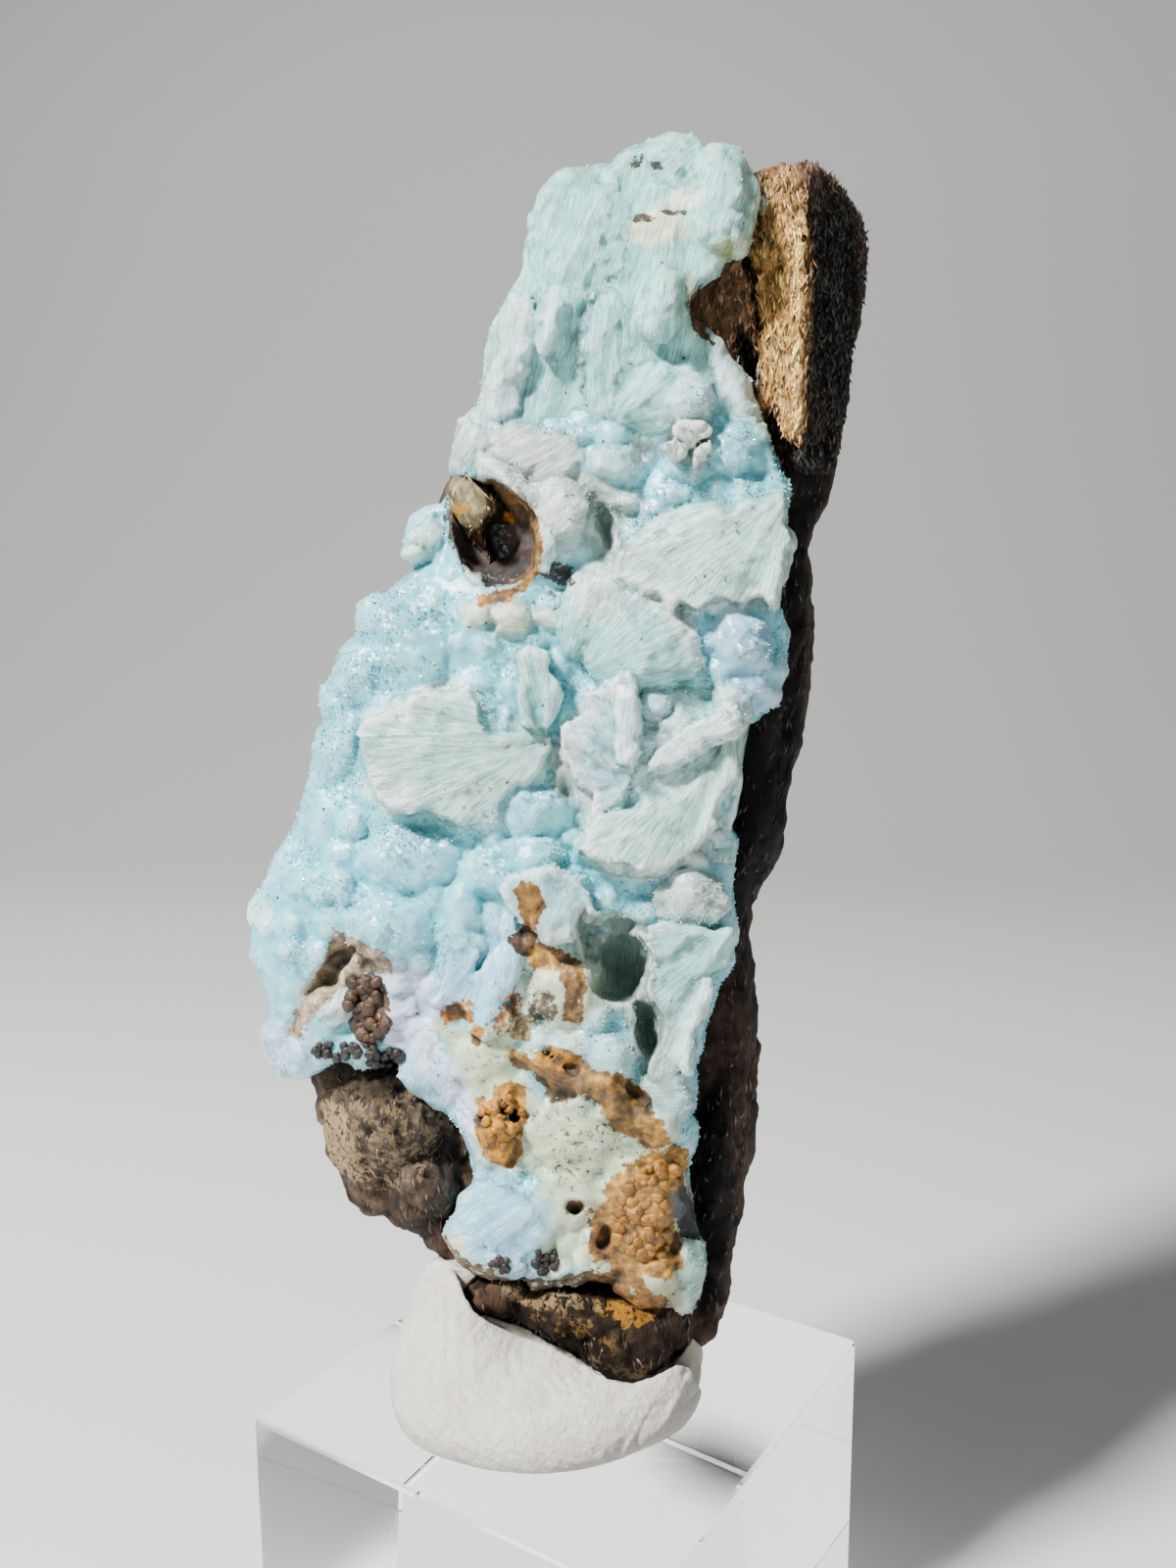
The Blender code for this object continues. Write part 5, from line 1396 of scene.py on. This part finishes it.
# The putty: one wad of off-white mounting putty, rolled by hand and pressed down on the block, with the
# foot of the rock pushed into it. Its skin keeps fine arcs of wrinkles from the rolling, a fold down
# its left side and deep creases at the right, where it was pinched.
PUTTY_STEP = 0.25
PUTTY_REST = 50.3
PUTTY_LUMPS = {
    "wad": ((-2.4, -2.0, 52.1), (16.5, 15.6, 5.9)),
    "front roll": ((-4.8, -8.4, 52.7), (13.2, 8.8, 5.6)),
    "left lobe": ((-12.6, -1.8, 56.9), (6.0, 9.4, 8.0)),
    "left side": ((-11.6, -5.0, 53.7), (7.6, 9.4, 7.4)),
    "right lobe": ((7.2, -3.6, 53.1), (7.4, 9.0, 7.0)),
    "back lobe": ((0.0, 8.8, 53.6), (14.4, 8.4, 6.8)),
}
# The edge where the rock's foot sinks into the putty, as it lies in the picture
PUTTY_TOP_EDGE = [
    (400, 1290), (440, 1290), (464, 1296), (474, 1322), (484, 1340), (502, 1351), (530, 1364), (562, 1374),
    (590, 1390), (620, 1407), (645, 1412), (670, 1404), (690, 1392), (704, 1396), (716, 1420),
]

putty_field = Field((-20.5, -18.6, 49.0), (16.0, 17.6, 66.0), PUTTY_STEP)
putty_slices, putty_grid = putty_field.window(putty_field.low, (16.0, 17.6, 66.0))
for middle, half in PUTTY_LUMPS.values():
    away = [axis - c for axis, c in zip(putty_grid, middle)]
    share = np.sqrt(sum((a / h) ** 2 for a, h in zip(away, half))) + 1e-6
    steep = np.sqrt(sum((a / h ** 2) ** 2 for a, h in zip(away, half))) + 1e-6
    putty_field.join(putty_slices, share * (share - 1.0) / steep, 2.6)
putty_near = np.nonzero(putty_field.cells < 3.0)
putty_places = np.stack(putty_near, axis=1) * PUTTY_STEP + putty_field.low
press = blended(rock_field, picture_place(putty_places * MM)) * STEP_MM
press = np.minimum(press, blended(crust_field, picture_place(putty_places * MM)) * STEP_MM)
putty_lip = 0.5 * np.exp(-((press - 1.4) / 0.9) ** 2)
putty_held = putty_field.cells[putty_near] - putty_lip
putty_sight = picture_place(putty_places * MM)
putty_rim = np.interp(putty_sight[:, 0], *zip(*PUTTY_TOP_EDGE))
putty_above = (putty_rim - putty_sight[:, 2]) * 0.1 * np.clip((-3.0 - putty_places[:, 1]) / 2.0, 0.0, 1.0)
putty_held = np.where(putty_places[:, 1] < -3.0, np.maximum(putty_held, putty_above), putty_held)
putty_held = np.maximum(putty_held, 0.3 - press)
putty_held = np.maximum(putty_held, PUTTY_REST - putty_places[:, 2])
putty_field.cells[putty_near] = putty_held.astype(np.float32)
putty_points, putty_quads = putty_field.surface()
putty_out = outward(putty_points, putty_quads)

putty_view = picture_place(putty_points * MM)
roll_across, roll_down = putty_view[:, 0] - 628.0, (putty_view[:, 2] - 1392.0) * 1.5
roll_round = np.hypot(roll_across, roll_down)
roll_turn = np.arctan2(roll_down, roll_across) * 200.0
wrinkle_places = np.stack((roll_round / 5.2, roll_turn / 44.0, putty_points[:, 1] * 0.2), axis=1)
pinch_across = (putty_view[:, 0] - 700.0) + 0.55 * (putty_view[:, 2] - 1440.0)
pinch_places = np.stack((pinch_across / 11.0, putty_view[:, 2] / 60.0, putty_points[:, 1] * 0.25), axis=1)
pinched = np.clip((putty_view[:, 0] - 590.0) / 60.0, 0.0, 1.0)
fold_across = putty_view[:, 0] - (446.0 - 0.1 * (putty_view[:, 2] - 1350.0) ** 2 / 90.0)
fold = np.exp(-(fold_across / 3.0) ** 2) * np.clip((1440.0 - putty_view[:, 2]) / 40.0, 0.0, 1.0)
second_fold = np.exp(-((fold_across - 11.0) / 4.0) ** 2)
second_fold *= np.clip((1420.0 - putty_view[:, 2]) / 40.0, 0.0, 1.0)
putty_front = np.clip((4.0 - putty_points[:, 1]) / 6.0, 0.0, 1.0)
putty_skin = (
    0.13 * swell(wrinkle_places, 1.0, 131) * (1.0 - 0.6 * pinched)
    - 0.34 * np.abs(swell(pinch_places, 1.0, 137)) * pinched
    - (0.16 * fold + 0.12 * second_fold) * putty_front
    + 0.05 * swell(putty_points, 0.7, 139)
)
putty_free = np.clip((putty_points[:, 2] - PUTTY_REST) / 0.5, 0.0, 1.0)
putty_points = putty_points + putty_out * (putty_skin * putty_free)[:, None]
putty = make_piece("mounting_putty", putty_points * MM, putty_quads)
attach(putty, "root")
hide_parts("putty")

# Putty: off-white, dull and slightly waxy, with fine creases about 0.3 mm apart and a few dark grains
mounting_putty, shader = new_material("mounting_putty")
place = add_node(mounting_putty, "TexCoord").outputs["Object"]
cloud = add_node(mounting_putty, "TexNoise", {"Vector": place, "Scale": 240.0, "Detail": 5.0})
tone = add_node(mounting_putty, "ValToRGB", {"Fac": cloud.outputs["Fac"]})
tone.color_ramp.elements[0].position = 0.3
tone.color_ramp.elements[0].color = (*linear("#C6BEB4"), 1)
tone.color_ramp.elements[1].position = 0.7
tone.color_ramp.elements[1].color = (*linear("#DAD4CA"), 1)
grain = add_node(mounting_putty, "TexVoronoi", {"Vector": place, "Scale": 900.0})
grain_share = add_node(mounting_putty, "MapRange", {"Value": grain.outputs["Distance"], "From Min": 0.08,
                                                    "From Max": 0.16, "To Min": 0.6, "To Max": 0.0})
grain_pick = add_node(mounting_putty, "SeparateColor", {"Color": grain.outputs["Color"]})
grain_pick = add_node(mounting_putty, "Math", {0: grain_pick.outputs["Red"], 1: 0.88},
                      operation="GREATER_THAN")
grain_share = add_node(mounting_putty, "Math", {0: grain_share.outputs["Result"], 1: grain_pick.outputs[0]},
                       operation="MULTIPLY")
dotted = add_node(mounting_putty, "Mix", {"Factor": grain_share.outputs[0], "A": tone.outputs["Color"],
                                          "B": (*linear("#5E564C"), 1)}, data_type="RGBA")
link(mounting_putty, dotted.outputs["Result"], shader.inputs["Base Color"])
creases = add_node(mounting_putty, "TexNoise", {"Vector": place, "Scale": 1100.0, "Detail": 6.0,
                                                "Roughness": 0.65, "Distortion": 0.8})
bump = add_node(mounting_putty, "Bump", {"Height": creases.outputs["Fac"], "Distance": 0.0007,
                                         "Strength": 0.7})
link(mounting_putty, bump.outputs["Normal"], shader.inputs["Normal"])
shader.inputs["Roughness"].default_value = 0.68
shader.inputs["Subsurface Weight"].default_value = 0.12
shader.inputs["Subsurface Radius"].default_value = (1.0, 0.8, 0.6)
shader.inputs["Subsurface Scale"].default_value = 0.001
putty.data.materials.append(mounting_putty)


# The block: a polished cube of clear cast acrylic. The modelled cube stays and only takes the clear
# plastic, with faint hairline scratches from wiping, about 0.05 mm wide.
clear_acrylic, shader = new_material("clear_acrylic")
place = add_node(clear_acrylic, "TexCoord").outputs["Object"]
wiped = add_node(clear_acrylic, "Mapping", {"Vector": place, "Rotation": (0.3, 0.5, 0.9),
                                            "Scale": (90.0, 2600.0, 900.0)})
hairline = add_node(clear_acrylic, "TexNoise", {"Vector": wiped.outputs["Vector"], "Scale": 1.0,
                                                "Detail": 2.0})
hairline = add_node(clear_acrylic, "MapRange", {"Value": hairline.outputs["Fac"], "From Min": 0.66,
                                                "From Max": 0.74, "To Min": 0.0, "To Max": 1.0})
bump = add_node(clear_acrylic, "Bump", {"Height": hairline.outputs["Result"], "Distance": 0.00002,
                                        "Strength": 0.5})
link(clear_acrylic, bump.outputs["Normal"], shader.inputs["Normal"])
shader.inputs["Base Color"].default_value = (*linear("#FBFCFD"), 1)
shader.inputs["Transmission Weight"].default_value = 1.0
shader.inputs["IOR"].default_value = 1.49
shader.inputs["Roughness"].default_value = 0.015
block = bpy.data.objects["acrylic_block"]
block.visible_shadow = False
for number in range(len(block.material_slots)):
    block.material_slots[number].material = clear_acrylic


# The floor: a plain pale table top that sweeps up into the backdrop, so no edge shows behind the object.
sweep = [(-0.6, 0.0)]
for turn in np.linspace(0, math.pi / 2, 24):
    sweep.append((0.5 + 0.5 * math.sin(turn), 0.5 - 0.5 * math.cos(turn)))
sweep.append((1.0, 1.6))
floor_mesh = bpy.data.meshes.new("floor")
floor_points = [(side, deep, high) for deep, high in sweep for side in (-2.2, 2.2)]
floor_faces = [(2 * n, 2 * n + 1, 2 * n + 3, 2 * n + 2) for n in range(len(sweep) - 1)]
floor_mesh.from_pydata(floor_points, [], floor_faces)
floor_mesh.shade_smooth()
floor = bpy.data.objects.new("floor", floor_mesh)
bpy.context.scene.collection.objects.link(floor)
table_paint, shader = new_material("table_paint")
shader.inputs["Base Color"].default_value = (*linear("#D9D9D7"), 1)
shader.inputs["Roughness"].default_value = 0.8
floor.data.materials.append(table_paint)

# The light: one soft lamp from the upper left in front, a weak one from the right, and a pale room.
world = bpy.data.worlds.new("room")
bpy.context.scene.world = world
world.use_nodes = True
world.node_tree.nodes["Background"].inputs["Color"].default_value = (*linear("#DDE2E6"), 1)
world.node_tree.nodes["Background"].inputs["Strength"].default_value = 0.16


def add_lamp(name, place, aim, size, watts):
    """A square lamp at a place, turned to what it lights."""
    lamp = bpy.data.objects.new(name, bpy.data.lights.new(name, "AREA"))
    lamp.data.size = size
    lamp.data.energy = watts
    lamp.location = place
    lamp.rotation_euler = (Vector(aim) - Vector(place)).to_track_quat("-Z", "Y").to_euler()
    bpy.context.scene.collection.objects.link(lamp)


add_lamp("key", (-0.34, -0.30, 0.58), (0.0, 0.0, 0.12), 0.08, 16.5)
add_lamp("fill", (0.5, -0.35, 0.3), (0.0, 0.0, 0.1), 0.5, 0.6)
